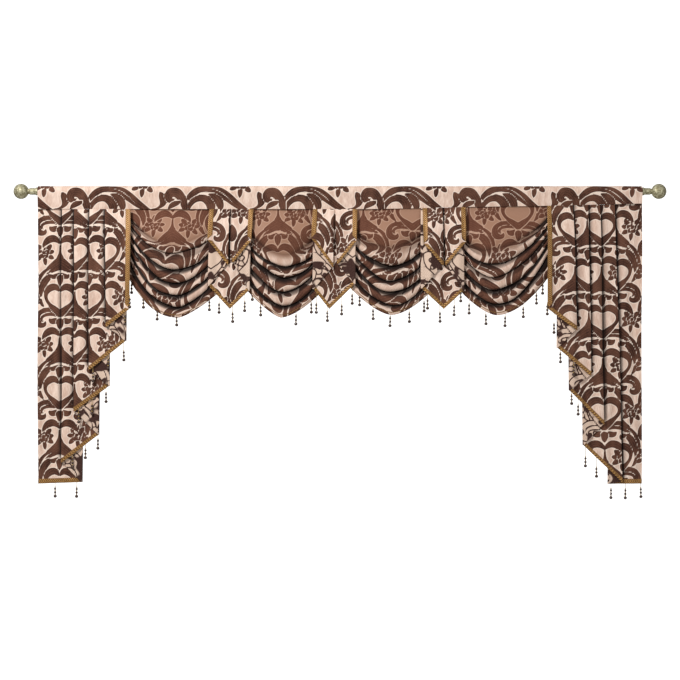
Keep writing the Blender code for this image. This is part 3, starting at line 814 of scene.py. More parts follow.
class MeshKit:
    """Shells and turned shapes gathered into one mesh."""

    def __init__(self):
        self.points = []
        self.groups = []
        self.values = {}
        self.count = 0

    def add(self, points, groups, attributes):
        """Add points, and faces as pairs of an array of corners and a material's number."""
        self.groups.extend((faces + self.count, number) for faces, number in groups if len(faces))
        for name, value in attributes.items():
            self.values.setdefault(name, []).append(value)
        self.points.append(points)
        self.count += len(points)

    def add_shell(self, front, back, ids, flip, attributes, materials):
        """Add a closed shell between two grids of points.

        ids gives each place's number, the same for places that share a point. materials
        holds the numbers of the front's and the back's material.
        """
        used, compact = np.unique(ids, return_inverse=True)
        size = len(used)
        first = [np.asarray(grid).reshape(-1, 3)[used] for grid in (front, back)]
        faces = grid_faces(compact.reshape(ids.shape), flip)
        edges = open_edges(faces)
        rim = np.stack([edges[:, 1], edges[:, 0], edges[:, 0] + size, edges[:, 1] + size], axis=1)
        groups = [(group, materials[0]) for group in faces]
        groups += [(group[:, ::-1] + size, materials[1]) for group in faces]
        groups.append((rim, materials[0]))
        doubled = {}
        for name, value in attributes.items():
            flat = np.asarray(value).reshape(ids.size, -1)[used]
            doubled[name] = np.vstack([flat, flat])
        self.add(np.vstack(first), groups, doubled)

    def add_turned(self, profile, sides, place, number, lean=0.0):
        """Add a shape turned about an upright line at a place, which leans over its height."""
        points, faces = turned(profile, sides)
        points[:, 0] += lean * -points[:, 2]
        self.add(points + place, [(group, number) for group in faces], {"flat": np.zeros((len(points), 3))})

    def make(self, name, materials):
        """The object with everything that was added."""
        points = np.vstack(self.points)
        mesh = bpy.data.meshes.new(name)
        sizes = np.concatenate([np.full(len(faces), faces.shape[1]) for faces, _ in self.groups])
        numbers = np.concatenate([np.full(len(faces), number) for faces, number in self.groups])
        corners = np.concatenate([faces.ravel() for faces, _ in self.groups])
        mesh.vertices.add(len(points))
        mesh.vertices.foreach_set("co", points.astype(np.float32).ravel())
        mesh.loops.add(len(corners))
        mesh.loops.foreach_set("vertex_index", corners.astype(np.int32))
        mesh.polygons.add(len(sizes))
        mesh.polygons.foreach_set("loop_start", (np.cumsum(sizes) - sizes).astype(np.int32))
        mesh.polygons.foreach_set("material_index", numbers.astype(np.int32))
        mesh.update(calc_edges=True)
        for label, parts in self.values.items():
            values = np.vstack(parts).astype(np.float32)
            kind, key = ("FLOAT_VECTOR", "vector") if values.shape[1] == 3 else ("FLOAT", "value")
            mesh.attributes.new(label, kind, "POINT").data.foreach_set(key, values.ravel())
        mesh.validate()
        mesh.shade_smooth()
        mesh.set_sharp_from_angle(angle=math.radians(SHARP_DEGREES))
        for material in materials:
            mesh.materials.append(material)
        thing = bpy.data.objects.new(name, mesh)
        bpy.context.scene.collection.objects.link(thing)
        return thing


def grid_faces(ids, flip):
    """The quads and triangles of a grid in which the lowest places of a column may be one."""
    corners = np.stack([ids[:-1, :-1], ids[1:, :-1], ids[1:, 1:], ids[:-1, 1:]], axis=-1).reshape(-1, 4)
    left_done = corners[:, 0] == corners[:, 3]
    right_done = corners[:, 1] == corners[:, 2]
    top_shared = corners[:, 0] == corners[:, 1]
    groups = [
        corners[~left_done & ~right_done & ~top_shared],
        corners[left_done & ~right_done][:, [0, 1, 2]],
        corners[~left_done & right_done][:, [0, 1, 3]],
        corners[top_shared & ~left_done & ~right_done][:, [0, 2, 3]],
    ]
    return [group[:, ::-1] if flip else group for group in groups if len(group)]


def open_edges(faces):
    """The edges that only one face has, in that face's direction."""
    edges = np.vstack([np.stack([group, np.roll(group, -1, axis=1)], axis=-1).reshape(-1, 2)
                       for group in faces])
    _, which, count = np.unique(np.sort(edges, axis=1), axis=0, return_inverse=True, return_counts=True)
    return edges[count[which.ravel()] == 1]


def turned(profile, sides):
    """The points and faces of a shape turned about Z, from (radius, height) down its outer side."""
    angles = np.arange(sides) * 2 * math.pi / sides
    rings = [(radius, height) for radius, height in profile if radius > 0]
    points = [np.array([[0.0, 0.0, profile[0][1]]])]
    for radius, height in rings:
        points.append(np.stack([radius * np.cos(angles), radius * np.sin(angles),
                                np.full(sides, height)], axis=1))
    points.append(np.array([[0.0, 0.0, profile[-1][1]]]))
    around = 1 + np.arange(sides)
    following = 1 + (np.arange(sides) + 1) % sides
    low = (len(rings) - 1) * sides
    top = np.stack([np.zeros(sides, int), around, following], axis=1)
    bottom = np.stack([np.full(sides, 1 + low + sides), low + following, low + around], axis=1)
    walls = [ring * sides + np.stack([around, sides + around, sides + following, following], axis=1)
             for ring in range(len(rings) - 1)]
    return np.vstack(points), [top, bottom, *walls]


class Shader:
    """A procedural material under construction. Colours are sRGB values or nodes' outputs."""

    def __init__(self, name):
        self.material = bpy.data.materials.new(name)
        self.material.use_nodes = True
        self.tree = self.material.node_tree
        self.surface = self.tree.nodes["Principled BSDF"]

    def put(self, socket, value):
        """Link a node's output to a socket, or set the socket's value."""
        if isinstance(value, bpy.types.NodeSocket):
            self.tree.links.new(value, socket)
        elif value is not None:
            socket.default_value = value

    def put_colour(self, socket, value):
        """Link a colour to a socket, or set it from sRGB values."""
        self.put(socket, linear(value) if isinstance(value, tuple) else value)

    def node(self, kind, *values, **settings):
        """Add a node, fill its inputs in order and return it."""
        node = self.tree.nodes.new(kind)
        for key, value in settings.items():
            setattr(node, key, value)
        for socket, value in zip(node.inputs, values):
            self.put(socket, value)
        return node

    def math(self, operation, first, second=None):
        """One step of arithmetic."""
        return self.node("ShaderNodeMath", first, second, operation=operation).outputs[0]

    def times(self, first, second):
        """A product."""
        return self.math("MULTIPLY", first, second)

    def plus(self, first, second):
        """A sum."""
        return self.math("ADD", first, second)

    def weighted(self, values, shares):
        """The sum of values, each times its share."""
        parts = [self.times(value, share) for value, share in zip(values, shares)]
        total = parts[0]
        for part in parts[1:]:
            total = self.plus(total, part)
        return total

    def attribute(self, name, output="Fac"):
        """A value stored on the mesh."""
        return self.node("ShaderNodeAttribute", attribute_name=name).outputs[output]

    def place(self):
        """The place in the object's own frame."""
        return self.node("ShaderNodeTexCoord").outputs["Object"]

    def ramp(self, value, name, start=0.0, end=1.0):
        """Where a value stands between the limits of a ramp, as a value from start to end."""
        return self.node("ShaderNodeMapRange", value, *RAMPS[name], start, end).outputs[0]

    def blend(self, share, first, second):
        """A mix of two colours."""
        node = self.node("ShaderNodeMix", data_type="RGBA")
        self.put(node.inputs["Factor"], share)
        self.put_colour(node.inputs["A"], first)
        self.put_colour(node.inputs["B"], second)
        return node.outputs["Result"]

    def noise(self, vector, name):
        """One of the noises over a vector."""
        scale, detail, stretch = NOISES[name]
        scaled = self.node("ShaderNodeVectorMath", vector, stretch, operation="MULTIPLY").outputs[0]
        texture = self.node("ShaderNodeTexNoise", scaled)
        texture.inputs["Scale"].default_value = scale
        texture.inputs["Detail"].default_value = detail
        return texture.outputs[0]

    def wave(self, value, period, phase=None):
        """A sine of a value, from 0 to 1."""
        angle = self.times(value, 2 * math.pi / period)
        if phase is not None:
            angle = self.plus(angle, phase)
        return self.plus(self.times(self.math("SINE", angle), 0.5), 0.5)

    def bump(self, height, name, normal=None):
        """A normal bumped by one of the reliefs."""
        strength, distance = BUMPS[name]
        node = self.node("ShaderNodeBump")
        node.inputs["Strength"].default_value = strength
        node.inputs["Distance"].default_value = distance * MM
        self.put(node.inputs["Height"], height)
        self.put(node.inputs["Normal"], normal)
        return node.outputs[0]

    def finish(self, colour, normal, **settings):
        """Connect the surface and set its other values."""
        self.put_colour(self.surface.inputs["Base Color"], colour)
        self.put(self.surface.inputs["Normal"], normal)
        for name, value in settings.items():
            self.put(self.surface.inputs[name.replace("_", " ")], value)
        return self.material


def weave_bump(shader, flat, mask):
    """The relief of the weave: fine ribs both ways, and the motif a little raised."""
    parts = shader.node("ShaderNodeSeparateXYZ", flat)
    ribs = shader.times(shader.wave(parts.outputs[0], WARP_RIB), shader.wave(parts.outputs[1], WEFT_RIB))
    uneven = shader.bump(shader.noise(flat, "uneven"), "uneven", shader.bump(ribs, "ribs"))
    return shader.bump(mask, "motif", uneven)


def face_material():
    """The damask's right side: a brown motif on a satin ground, with fine pale outlines."""
    shader = Shader("damask_face")
    flat = shader.attribute("flat", "Vector")
    flow = shader.attribute("damask_flow")
    jagged = shader.math("SUBTRACT", shader.noise(flat, "jagged"), 0.5)
    depth = shader.plus(shader.attribute("damask_depth"), jagged)
    mask = shader.ramp(depth, "motif")
    near = shader.ramp(depth, "outline")
    cloud = shader.noise(flat, "cloud")
    fade = shader.noise(flat, "fade")
    satin = shader.ramp(shader.weighted((shader.noise(flat, "slub"), fade), SATIN_SHARES), "satin")
    ground = shader.blend(near, shader.blend(satin, GROUND_DULL, GROUND_LIGHT), GROUND_CREAM)
    broad = shader.wave(flow, BROAD_STRIPE, shader.times(cloud, STRIPE_WANDER))
    thin = shader.wave(flow, THIN_STRIPE)
    stripes = shader.weighted((broad, thin, shader.ramp(fade, "fade")), STRIPE_SHARES)
    tone = shader.times(stripes, shader.ramp(shader.noise(flat, "grain"), "grain"))
    # A painted sheen lightens the motif in broad patches.
    sheen = shader.times(shader.ramp(cloud, "sheen"), SHEEN_SHARE)
    brown = shader.blend(sheen, shader.blend(tone, BROWN, BROWN_LIGHT), BROWN_SHEEN)
    # Painted shade: the swags' flat tops, and more faintly their folds, take darker copies of the ground and
    # the motif.
    shaded_ground = shader.blend(near, SHADED_GROUND, SHADED_CREAM)
    shaded = shader.blend(mask, shaded_ground, shader.blend(tone, SHADED_BROWN, SHADED_LIGHT))
    colour = shader.blend(shader.attribute("shade"), shader.blend(mask, ground, brown), shaded)
    # Painted shade in the swags' creases and dents and beside the folds of pleated pieces, and a painted
    # highlight on the swags' ridges.
    painted_shade_and_highlight = shader.attribute("painted_shade_and_highlight")
    ridge = shader.times(shader.ramp(painted_shade_and_highlight, "ridge"), RIDGE_HIGHLIGHT_SHARE)
    colour = shader.blend(ridge, colour, shader.blend(mask, RIDGE_HIGHLIGHT_GROUND, RIDGE_HIGHLIGHT_BROWN))
    sunk = shader.times(shader.ramp(painted_shade_and_highlight, "sunk"), PAINTED_SHADE_SHARE)
    colour = shader.blend(sunk, colour, PAINTED_SHADE_COLOUR)
    rough = shader.ramp(mask, "whole", 0.5, 0.78)
    return shader.finish(colour, weave_bump(shader, flat, mask), Roughness=rough, Sheen_Weight=0.06,
                         Sheen_Roughness=0.4, Specular_IOR_Level=0.15)


def reverse_material():
    """The damask's wrong side: the same weave with its tones the other way round."""
    shader = Shader("damask_reverse")
    flat = shader.attribute("flat", "Vector")
    depth = shader.attribute("damask_depth")
    mask = shader.ramp(depth, "reverse_motif")
    grain = shader.noise(flat, "reverse_grain")
    lines = shader.times(shader.wave(shader.attribute("damask_flow"), REVERSE_STRIPE), grain)
    light = shader.blend(lines, REVERSE_LIGHT, REVERSE_SHADE)
    dark = shader.blend(shader.ramp(grain, "reverse_grain"), REVERSE_DARK, REVERSE_BROWN)
    plain = shader.blend(grain, REVERSE_LIGHT, REVERSE_DULL)
    inside = shader.blend(shader.ramp(shader.noise(flat, "patch"), "patch"), light, dark)
    colour = shader.blend(shader.ramp(depth, "reverse_ground"), shader.blend(mask, dark, inside), plain)
    return shader.finish(colour, weave_bump(shader, flat, mask), Roughness=0.85,
                         Sheen_Weight=0.06, Sheen_Roughness=0.5, Specular_IOR_Level=0.15)


def braid_material():
    """Gold gimp braid: cords that twist along it over a darker base. The colour follows the
    relief: the darker base in the grooves is painted shade, and the palest gold on the crests
    is a painted highlight.
    """
    shader = Shader("gold_braid")
    flat = shader.attribute("flat", "Vector")
    parts = shader.node("ShaderNodeSeparateXYZ", flat)
    run, across = parts.outputs[0], parts.outputs[1]
    side = shader.math("ABSOLUTE", across)
    twist = shader.wave(shader.plus(run, shader.times(side, BRAID_SLANT)), BRAID_TWIST)
    height = shader.times(twist, shader.ramp(shader.wave(across, BRAID_CORD), "whole", 0.4, 1.0))
    loops = shader.times(shader.wave(run, BRAID_LOOP), shader.ramp(side, "rim"))
    tone = shader.times(height, shader.ramp(shader.noise(flat, "fibre"), "fibre"))
    colour = shader.blend(shader.ramp(tone, "gold"), GOLD_DARK, GOLD)
    colour = shader.blend(shader.ramp(tone, "gold_light"), colour, GOLD_LIGHT)
    colour = shader.blend(shader.times(loops, LOOP_SHARE), colour, GOLD_DARK)
    return shader.finish(colour, shader.bump(height, "braid"), Roughness=0.42, Metallic=0.35,
                         Sheen_Weight=0.15)


def thread_material():
    """Gold thread of the tassels."""
    shader = Shader("gold_thread")
    strands = shader.noise(shader.place(), "thread")
    colour = shader.blend(shader.ramp(strands, "thread"), GOLD_DARK, GOLD_LIGHT)
    return shader.finish(colour, shader.bump(strands, "thread"), Roughness=0.45, Metallic=0.3)


def bead_material():
    """Dark, softly polished beads."""
    shader = Shader("dark_bead")
    grain = shader.noise(shader.place(), "bead")
    colour = shader.blend(shader.ramp(grain, "bead"), BEAD_BROWN, BEAD_LIGHT)
    return shader.finish(colour, shader.bump(grain, "bead"), Roughness=0.28, Coat_Weight=0.4)


def metal_material():
    """Champagne metal with a mottled antique finish."""
    shader = Shader("champagne_metal")
    mottle = shader.noise(shader.place(), "mottle")
    fine = shader.noise(shader.place(), "fibre")
    colour = shader.blend(shader.ramp(mottle, "mottle"), CHAMPAGNE_DARK, CHAMPAGNE)
    normal = shader.bump(fine, "fine", shader.bump(mottle, "mottle"))
    return shader.finish(colour, normal, Roughness=shader.ramp(mottle, "worn", 0.66, 0.52), Metallic=0.6)


class PleatedCloth:
    """A sheet folded back and forth, read at any place on its flat cut.

    u runs along the cut from one free edge to the other, and the drop is the distance
    below the seam.
    """

    def __init__(self, folds, levels, stack, axes, cell, phase):
        self.folds = np.array(folds, float) * MM
        self.levels = levels
        self.stack = stack
        self.phase = phase
        self.way = 1.0 if self.folds[1][0] > self.folds[0][0] else -1.0
        self.places = []
        self.panel_of = []
        self.lay_out(cell)
        self.u, self.x_top, self.x_hem, self.full, self.shift, self.level = np.array(self.places).T
        self.panel_of = np.array(self.panel_of)
        self.pattern = self.pattern_places(axes)

    def pattern_places(self, axes):
        """The repeat's place across at each place along the cut."""
        known = np.zeros(0)
        values = np.zeros(0)
        for panel, x_axis, column in axes:
            inside = self.panel_of == panel
            way = math.copysign(1.0, self.folds[panel + 1][0] - self.folds[panel][0])
            place = way * (self.x_top[inside] - x_axis * MM) + column * COLUMN_STEP * MM
            known = np.append(known, self.u[inside])
            values = np.append(values, place - self.u[inside])
        latest = np.maximum(np.searchsorted(known, self.u, side="right") - 1, 0)
        return self.u + values[latest]

    def fold_shade(self, x, drop):
        """The painted shade on the cloth beside a fold that lies over it, from 0 to 1."""
        shade = np.zeros_like(x)
        for panel in range(2, len(self.levels), 2):
            start, edge = self.folds[panel], self.folds[panel - 1]
            if self.levels[panel] >= self.levels[panel - 2]:
                continue
            covered = mix(edge[0], edge[1], np.clip(drop / (HUNG_TOP_Z - edge[2]), 0, 1))
            gap = (x - covered) * math.copysign(1.0, edge[0] - start[0])
            near = np.exp(-np.maximum(gap, 0.0) / FOLD_SHADE_REACH)
            above_hem = ease((HUNG_TOP_Z - edge[2] - drop) / FOLD_SHADE_ENDS)
            shade = np.where((self.panel_of == panel)[:, None], near * above_hem, shade)
        return shade * FOLD_SHADE

    def lay_out(self, cell):
        """List the places along the cut, panel by panel and fold by fold."""
        u = 0.0
        last = len(self.levels) - 1
        fold_length = math.pi * self.stack["pitch_low"] / 2
        for panel, level in enumerate(self.levels):
            start, end = self.folds[panel], self.folds[panel + 1]
            width = (abs(end[0] - start[0]) + abs(end[1] - start[1])) / 2
            way = math.copysign(1.0, end[0] - start[0])
            before = way if panel > 0 and self.levels[panel - 1] != level else 0.0
            after = -way if panel < last and self.levels[panel + 1] != level else 0.0
            steps = max(round(width / cell), 2)
            for step in range(steps + 1):
                share = step / steps
                if step or panel == 0 or before:
                    self.add_place(u + width * share, mix(start, end, share), mix(before, after, share),
                                   level, panel)
            u += width
            if after:
                for step in range(1, FOLD_ARC_STEPS + 1):
                    share = step / (FOLD_ARC_STEPS + 1)
                    angle = math.pi * share
                    along = (1 - math.cos(angle)) / 2
                    self.add_place(u + fold_length * share, end, after * (1.0 - math.sin(angle)),
                                   mix(level, self.levels[panel + 1], along), -1)
                u += fold_length
        self.width = u

    def add_place(self, u, fold, shift, level, panel):
        """Add one place along the cut, from a fold's or a panel's x at both ends and z."""
        x_top, x_hem, z_hem = fold
        self.places.append((u, x_top, x_hem, HUNG_TOP_Z - z_hem, shift, level))
        self.panel_of.append(panel)

    def at(self, name, u):
        """One of the table's columns at places along the cut."""
        return np.interp(u, self.u, getattr(self, name))

    def bow(self, x, drop, level):
        """How far the cloth swells forward: soft upright waves that all layers share."""
        slow = swell(SLOW_BOW, x, swell(SLOW_WANDER, drop) + self.phase)
        quick = swell(QUICK_BOW, x, swell(QUICK_WANDER, drop, self.phase) + 2 * self.phase)
        own = swell(OWN_BOW, drop, OWN_BOW_TURN * level + x / OWN_BOW_ACROSS)
        return (1.0 - np.exp(-drop / BOW_OPENS_OVER)) * (slow + quick + own)

    def place(self, u, drop):
        """Points in the middle of the cloth's thickness."""
        hung = np.maximum(drop, 0.0)
        opened = 1.0 - np.exp(-hung / self.stack["opens_over"])
        pitch = mix(self.stack["pitch_top"], self.stack["pitch_low"], opened)
        back = mix(self.stack["back_top"], self.stack["back_low"], opened)
        level = self.at("level", u)
        sway = swell(PLEAT_SWAY, drop, PLEAT_SWAY_TURN * level + self.phase) * opened
        x = mix(self.at("x_top", u), self.at("x_hem", u), drop / self.at("full", u))
        x = x + self.at("shift", u) * pitch / 2 + sway
        y = -(back + level * pitch) - self.bow(x, hung, level)
        return np.stack(np.broadcast_arrays(x, y, HUNG_TOP_Z - drop), axis=-1)

    def normal(self, u, drop):
        """The direction that the right side faces."""
        along = self.place(u + MM, drop) - self.place(u - MM, drop)
        down = self.place(u, drop + MM) - self.place(u, drop - MM)
        return unit(np.cross(along, down)) * -self.way

    def grid(self, row):
        """The grid of the whole sheet: places u, drops, and numbers shared below the hem."""
        rows = int(np.ceil(self.full.max() / row)) + 1
        levels = np.arange(rows) * row
        u = np.repeat(self.u[:, None], rows, axis=1)
        drop = np.minimum(levels[None, :], self.full[:, None])
        behind_seam = self.stack["back_top"] + self.level * self.stack["pitch_top"] < BEHIND_SEAM
        tuck = np.where(behind_seam, SEAM_TUCK, SEAM_OVERLAP)
        top = HUNG_TOP_Z - hung_top(self.x_top) - tuck
        drop += top[:, None] * np.clip(1.0 - drop / levels[SEAM_ROWS], 0.0, 1.0)
        last = np.minimum(np.ceil(self.full / row - SHORTEST_ROW).astype(int), rows - 1)[:, None]
        number = np.arange(rows)[None, :]
        drop = np.where(number >= last, self.full[:, None], drop)
        return u, drop, np.minimum(number, last) + np.arange(len(self.u))[:, None] * rows

    def u_of_tassel(self, panel, x):
        """The place along the cut where a tassel of a panel hangs."""
        inside = np.nonzero(self.panel_of == panel)[0]
        order = inside[np.argsort(self.x_hem[inside])]
        return float(np.interp(x, self.x_hem[order], self.u[order]))


def add_braid(kit, points, normals, run, flip):
    """Add a stretch of braid that lies over a grid of points, one row for each station."""
    across = np.linspace(0.0, 1.0, points.shape[1])[None, :]
    run = run[:, None]
    cords = np.abs(np.sin(BRAID_CORDS * math.pi * across)) ** BRAID_CORD_POWER
    knots = 0.5 + 0.5 * np.sin(run * 2 * math.pi / KNOT_STEP + KNOT_SLANT * across)
    relief = BRAID_BASE + BRAID_RELIEF * cords * mix(KNOT_LOW, 1.0, knots)
    foot = CLOTH / 2 + BRAID_GAP
    ids = np.arange(points.shape[0] * points.shape[1]).reshape(points.shape[:2])
    place = np.stack(np.broadcast_arrays(run, (across - 0.5) * BRAID_WIDTH, np.zeros_like(across)), axis=-1)
    kit.add_shell(points + normals * (foot + relief)[..., None], points + normals * foot, ids, flip,
                  {"flat": place}, (0, 0))


def bead_profile(radius, steps):
    """A slightly flattened ball with small dents at the thread."""
    profile = [(0.0, BEAD_DENT * radius)]
    for step in range(1, steps):
        angle = math.pi * step / steps
        profile.append((radius * math.sin(angle), BEAD_HEIGHT * radius * math.cos(angle)))
    profile.append((0.0, -BEAD_DENT * radius))
    return profile


def add_tassel(kit, top, z_bottom, number):
    """Add a thread with three beads that hangs from a point."""
    lean = TASSEL_LEAN * math.sin(TASSEL_TURN * number)
    length = top[2] - z_bottom
    half = THREAD_RADIUS
    profile = [(0.0, 0.0), (half, -0.2 * MM), (half, -length * 0.5), (half, -length + 3 * MM),
               (0.0, -length + 2 * MM)]
    kit.add_turned(profile, THREAD_SIDES, top, 1, lean / length)
    for radius, above, material, sides in BEADS:
        share = 1.0 - above * MM / length
        middle = np.array([top[0] + lean * share, top[1], z_bottom + above * MM])
        kit.add_turned(bead_profile(radius * MM, sides * 3 // 4), sides, middle, material)


def add_pleated_braid(kit, cloth, both_edges):
    """Add the braid down the free edges and along the hem, mitred where they meet."""
    flip = cloth.way > 0
    across = np.linspace(0.0, 1.0, BRAID_ACROSS)[None, :]
    ends = [(0.0, 1.0)] + ([(cloth.width, -1.0)] if both_edges else [])
    for edge, inward in ends:
        full = float(cloth.at("full", edge))
        top = HUNG_TOP_Z - hung_top(float(cloth.at("x_top", edge)))
        drops = np.linspace(top, full, int((full - top) / BRAID_STEP) + 1)[:, None]
        u = edge + inward * np.minimum(BRAID_WIDTH, full - drops) * across
        drop = np.broadcast_to(drops, u.shape)
        add_braid(kit, cloth.place(u, drop), cloth.normal(u, drop), drops[:, 0], flip == (inward > 0))
    stations = []
    for start, end in zip(cloth.u[:-1], cloth.u[1:]):
        pieces = max(int((end - start) / BRAID_STEP), 1)
        stations.extend(np.linspace(start, end, pieces, endpoint=False))
    stations.append(cloth.width)
    u = np.array(stations)[:, None]
    tall = np.minimum(BRAID_WIDTH, u)
    if both_edges:
        tall = np.minimum(tall, cloth.width - u)
    drop = cloth.at("full", u) - tall * across
    u = np.broadcast_to(u, drop.shape)
    add_braid(kit, cloth.place(u, drop), cloth.normal(u, drop), u[:, 0], not flip)


def build_pleated(damask, looks, row, phase):
    """A tail or jabot with its trim."""
    name, folds, levels, stack, tassels, edge_tassels, axes, pattern = row
    is_tail = levels is TAIL_LEVELS
    cloth = PleatedCloth(folds, levels, stack, axes, PLEAT_CELL if is_tail else JABOT_CELL, phase)
    u, drop, ids = cloth.grid(PLEAT_ROW if is_tail else JABOT_CELL)
    points = cloth.place(u, drop)
    half = cloth.normal(u, drop) * CLOTH / 2
    kit = MeshKit()
    across = np.repeat(cloth.pattern[:, None], u.shape[1], axis=1)
    # Painted shade beside the folds that lie over the cloth.
    dark = cloth.fold_shade(points[..., 0], drop)
    values = damask.attributes(across, drop + pattern * MM, np.zeros_like(u), dark)
    kit.add_shell(points + half, points - half, ids, cloth.way > 0, values, (0, 1))
    sheet = kit.make("cloth_" + name, [looks["face"], looks["reverse"]])
    trim = MeshKit()
    add_pleated_braid(trim, cloth, not is_tail)
    for number, (panel, x, z_bottom) in enumerate(tassels):
        place = cloth.u_of_tassel(panel, x * MM)
        low_end = float(cloth.at("full", place)) - TASSEL_OVERLAP
        top = cloth.place(place, low_end) + cloth.normal(place, low_end) * TASSEL_LIFT
        add_tassel(trim, top, z_bottom * MM, number)
    for number, z_bottom in enumerate(edge_tassels):
        top = cloth.place(0.0, HUNG_TOP_Z - z_bottom * MM - EDGE_TASSEL_LENGTH)
        top = top + np.array([-cloth.way * EDGE_TASSEL_OUT, -EDGE_TASSEL_FORWARD, 0.0])
        add_tassel(trim, top, z_bottom * MM - EDGE_TASSEL_DROP, number)
    fringe = trim.make("fringe_" + name, [looks["braid"], looks["thread"], looks["bead"]])
    place_on_frame(sheet, name, fringe)


def place_on_frame(sheet, name, fringe):
    """Let a cloth and its trim ride on the frame and stand for their nodes."""
    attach(sheet, "root")
    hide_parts(name)
    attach(fringe, "root")
    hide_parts("trim_" + name)


class SwagCloth:
    """A side-gathered swag, with rolled folds that hang over their creases."""

    def __init__(self, creases, x_left, x_right, blunt_left, blunt_right, phase):
        self.creases = np.array(creases, float)
        self.creases[:, :4] *= MM
        self.x_left = x_left * MM
        self.x_right = x_right * MM
        self.blunt_left = blunt_left
        self.blunt_right = blunt_right
        self.phase = phase

    def crease_height(self, index, x, across):
        """The height of one crease across the swag."""
        z_left, x_mid, z_mid, z_right = self.creases[index][:4]
        share = index / (len(self.creases) - 1)
        left_blunt = mix(FLAT_TOP_BLUNT, self.blunt_left, share)
        right_blunt = mix(FLAT_TOP_BLUNT, self.blunt_right, share)
        left = mix(z_mid, z_left, np.clip((x_mid - x) / (x_mid - self.x_left), 0, 1) ** left_blunt)
        right = mix(z_mid, z_right, np.clip((x - x_mid) / (self.x_right - x_mid), 0, 1) ** right_blunt)
        loose = 0.0 if index == len(self.creases) - 1 else CREASE_WANDER
        wander = sum(size * np.sin(waves * across + turn * index + own * self.phase)
                     for size, waves, turn, own in CREASE_WAVES)
        return np.where(x < x_mid, left, right) + loose * wander * np.sin(math.pi * across) ** WANDER_ENDS

    def forward(self, across):
        """How far the folds reach out across the swag."""
        return mix(SWAG_END_FORWARD, SWAG_MID_FORWARD, np.sin(math.pi * across) ** SWAG_FORWARD_POWER)

    def crease_depths(self, heights, across):
        """How deep each crease is across the swag, in metres and as a share."""
        depths = []
        strengths = []
        for index, row in enumerate(self.creases):
            deep_left, deep_mid, deep_right = row[4:]
            side = np.where(across < 0.5, deep_left, deep_right)
            strength = mix(deep_mid, side, (2 * across - 1) ** 2)
            above = heights[max(index - 1, 0)]
            below = heights[min(index + 1, len(heights) - 1)]
            pitch = (above - below) / 2
            depths.append(strength * np.minimum(CREASE_SHARE * self.forward(across), CREASE_RATIO * pitch))
            strengths.append(strength)
        return depths, strengths

    def put(self, x, across, z, sunk):
        """Points of the cloth at a height, sunk back by a crease."""
        down = HUNG_TOP_Z - z
        reach = self.forward(across) * ease(down / SWAG_FORWARD_OVER)
        sunk = np.minimum(sunk, CREASE_SHARE * reach)
        ripple = swell(SWAG_RIPPLE, z, x / SWAG_RIPPLE_ACROSS + self.phase) * ease(down / SWAG_RIPPLE_OVER)
        return np.stack([x, -(SWAG_BACK + reach - sunk + ripple), z], axis=-1)

    def grid(self):
        """The grid of points from the seam to the hem, its painted shade, and its painted shade
        and highlight of creases and ridges.

        The painted shade is 1 on the flat top. The second value is painted shade up to 1 in a
        crease and a painted highlight down to -1 on a fold's ridge.
        """
        columns = round((self.x_right - self.x_left) / SWAG_CELL) + 1
        across = np.linspace(0.0, 1.0, columns)
        x = mix(self.x_left, self.x_right, across)
        heights = [self.crease_height(index, x, across) for index in range(len(self.creases))]
        depths, strengths = self.crease_depths(heights, across)
        side = np.abs(2 * across - 1)
        rows = []
        tops = []
        dark = []
        for share in np.linspace(0.0, 1.0, SWAG_TOP_ROWS, endpoint=False):
            height = mix(hung_top(x), heights[0], share) if share else hung_top(x) + SEAM_TUCK
            rows.append(self.put(x, across, height, depths[0] * share ** LOWER_TURN))
            # Full painted shade on the flat top, with painted shade growing into the first crease.
            tops.append(1.0)
            dark.append(strengths[0] * share ** LOWER_TURN)
        last = len(heights) - 2
        for fold in range(last + 1):
            top, bottom = heights[fold], heights[fold + 1]
            upper, lower = depths[fold], depths[fold + 1]
            lip = LIP_DROP * np.minimum(lower / LIP_FULL_DEPTH, 1.0) if fold < last else 0.0
            middle = NOTCH_PLACE + NOTCH_WANDER * math.sin(NOTCH_TURN * fold + self.phase)
            for step in range(SWAG_FOLD_ROWS):
                share = (1.0 - math.cos(math.pi * step / SWAG_FOLD_ROWS)) / 2
                hang = lip * share ** LIP_RISE * (1.0 - share) ** LIP_FALL
                notch = NOTCH_DEPTH * side ** NOTCH_POWER * bell(share, middle, NOTCH_WIDTH)
                turn = share ** LOWER_TURN
                sunk = upper * (1.0 - share) ** UPPER_TURN + lower * turn + notch * (upper + lower) / 2
                rows.append(self.put(x, across, mix(top, bottom, share + hang), sunk))
                # The flat top's painted shade gives way to the folds' fainter painted shade; creases and
                # dents get painted shade, and each ridge a painted highlight.
                flat_share = float(1.0 - ease(share * FLAT_FADE)) if fold == 0 else 0.0
                tops.append(mix(FOLD_PAINTED_SHADE, 1.0, flat_share))
                shadow = strengths[fold] * (1.0 - share) ** DARK_TURN + strengths[fold + 1] * turn
                sunlit = bell(share, RIDGE_PLACE, RIDGE_WIDTH) * (1.0 - flat_share)
                dark.append(shadow + NOTCH_DARK * notch - sunlit)
        rows.append(self.put(x, across, heights[-1], depths[-1]))
        tops.append(FOLD_PAINTED_SHADE)
        dark.append(np.zeros_like(across))
        shade = np.broadcast_to(np.array(tops)[None, :], (columns, len(tops)))
        return np.stack(rows, axis=1), shade, np.clip(np.stack(dark, axis=1), -1.0, 1.0)


def grid_normals(points):
    """The normals of a grid of points, from its columns and rows."""
    return unit(np.cross(np.gradient(points, axis=0), np.gradient(points, axis=1)))


def along_rows(points, axis):
    """The distance run along one axis of a grid."""
    steps = np.linalg.norm(np.diff(points, axis=axis), axis=-1)
    start = np.zeros_like(np.take(steps, [0], axis=axis))
    return np.concatenate([start, np.cumsum(steps, axis=axis)], axis=axis)


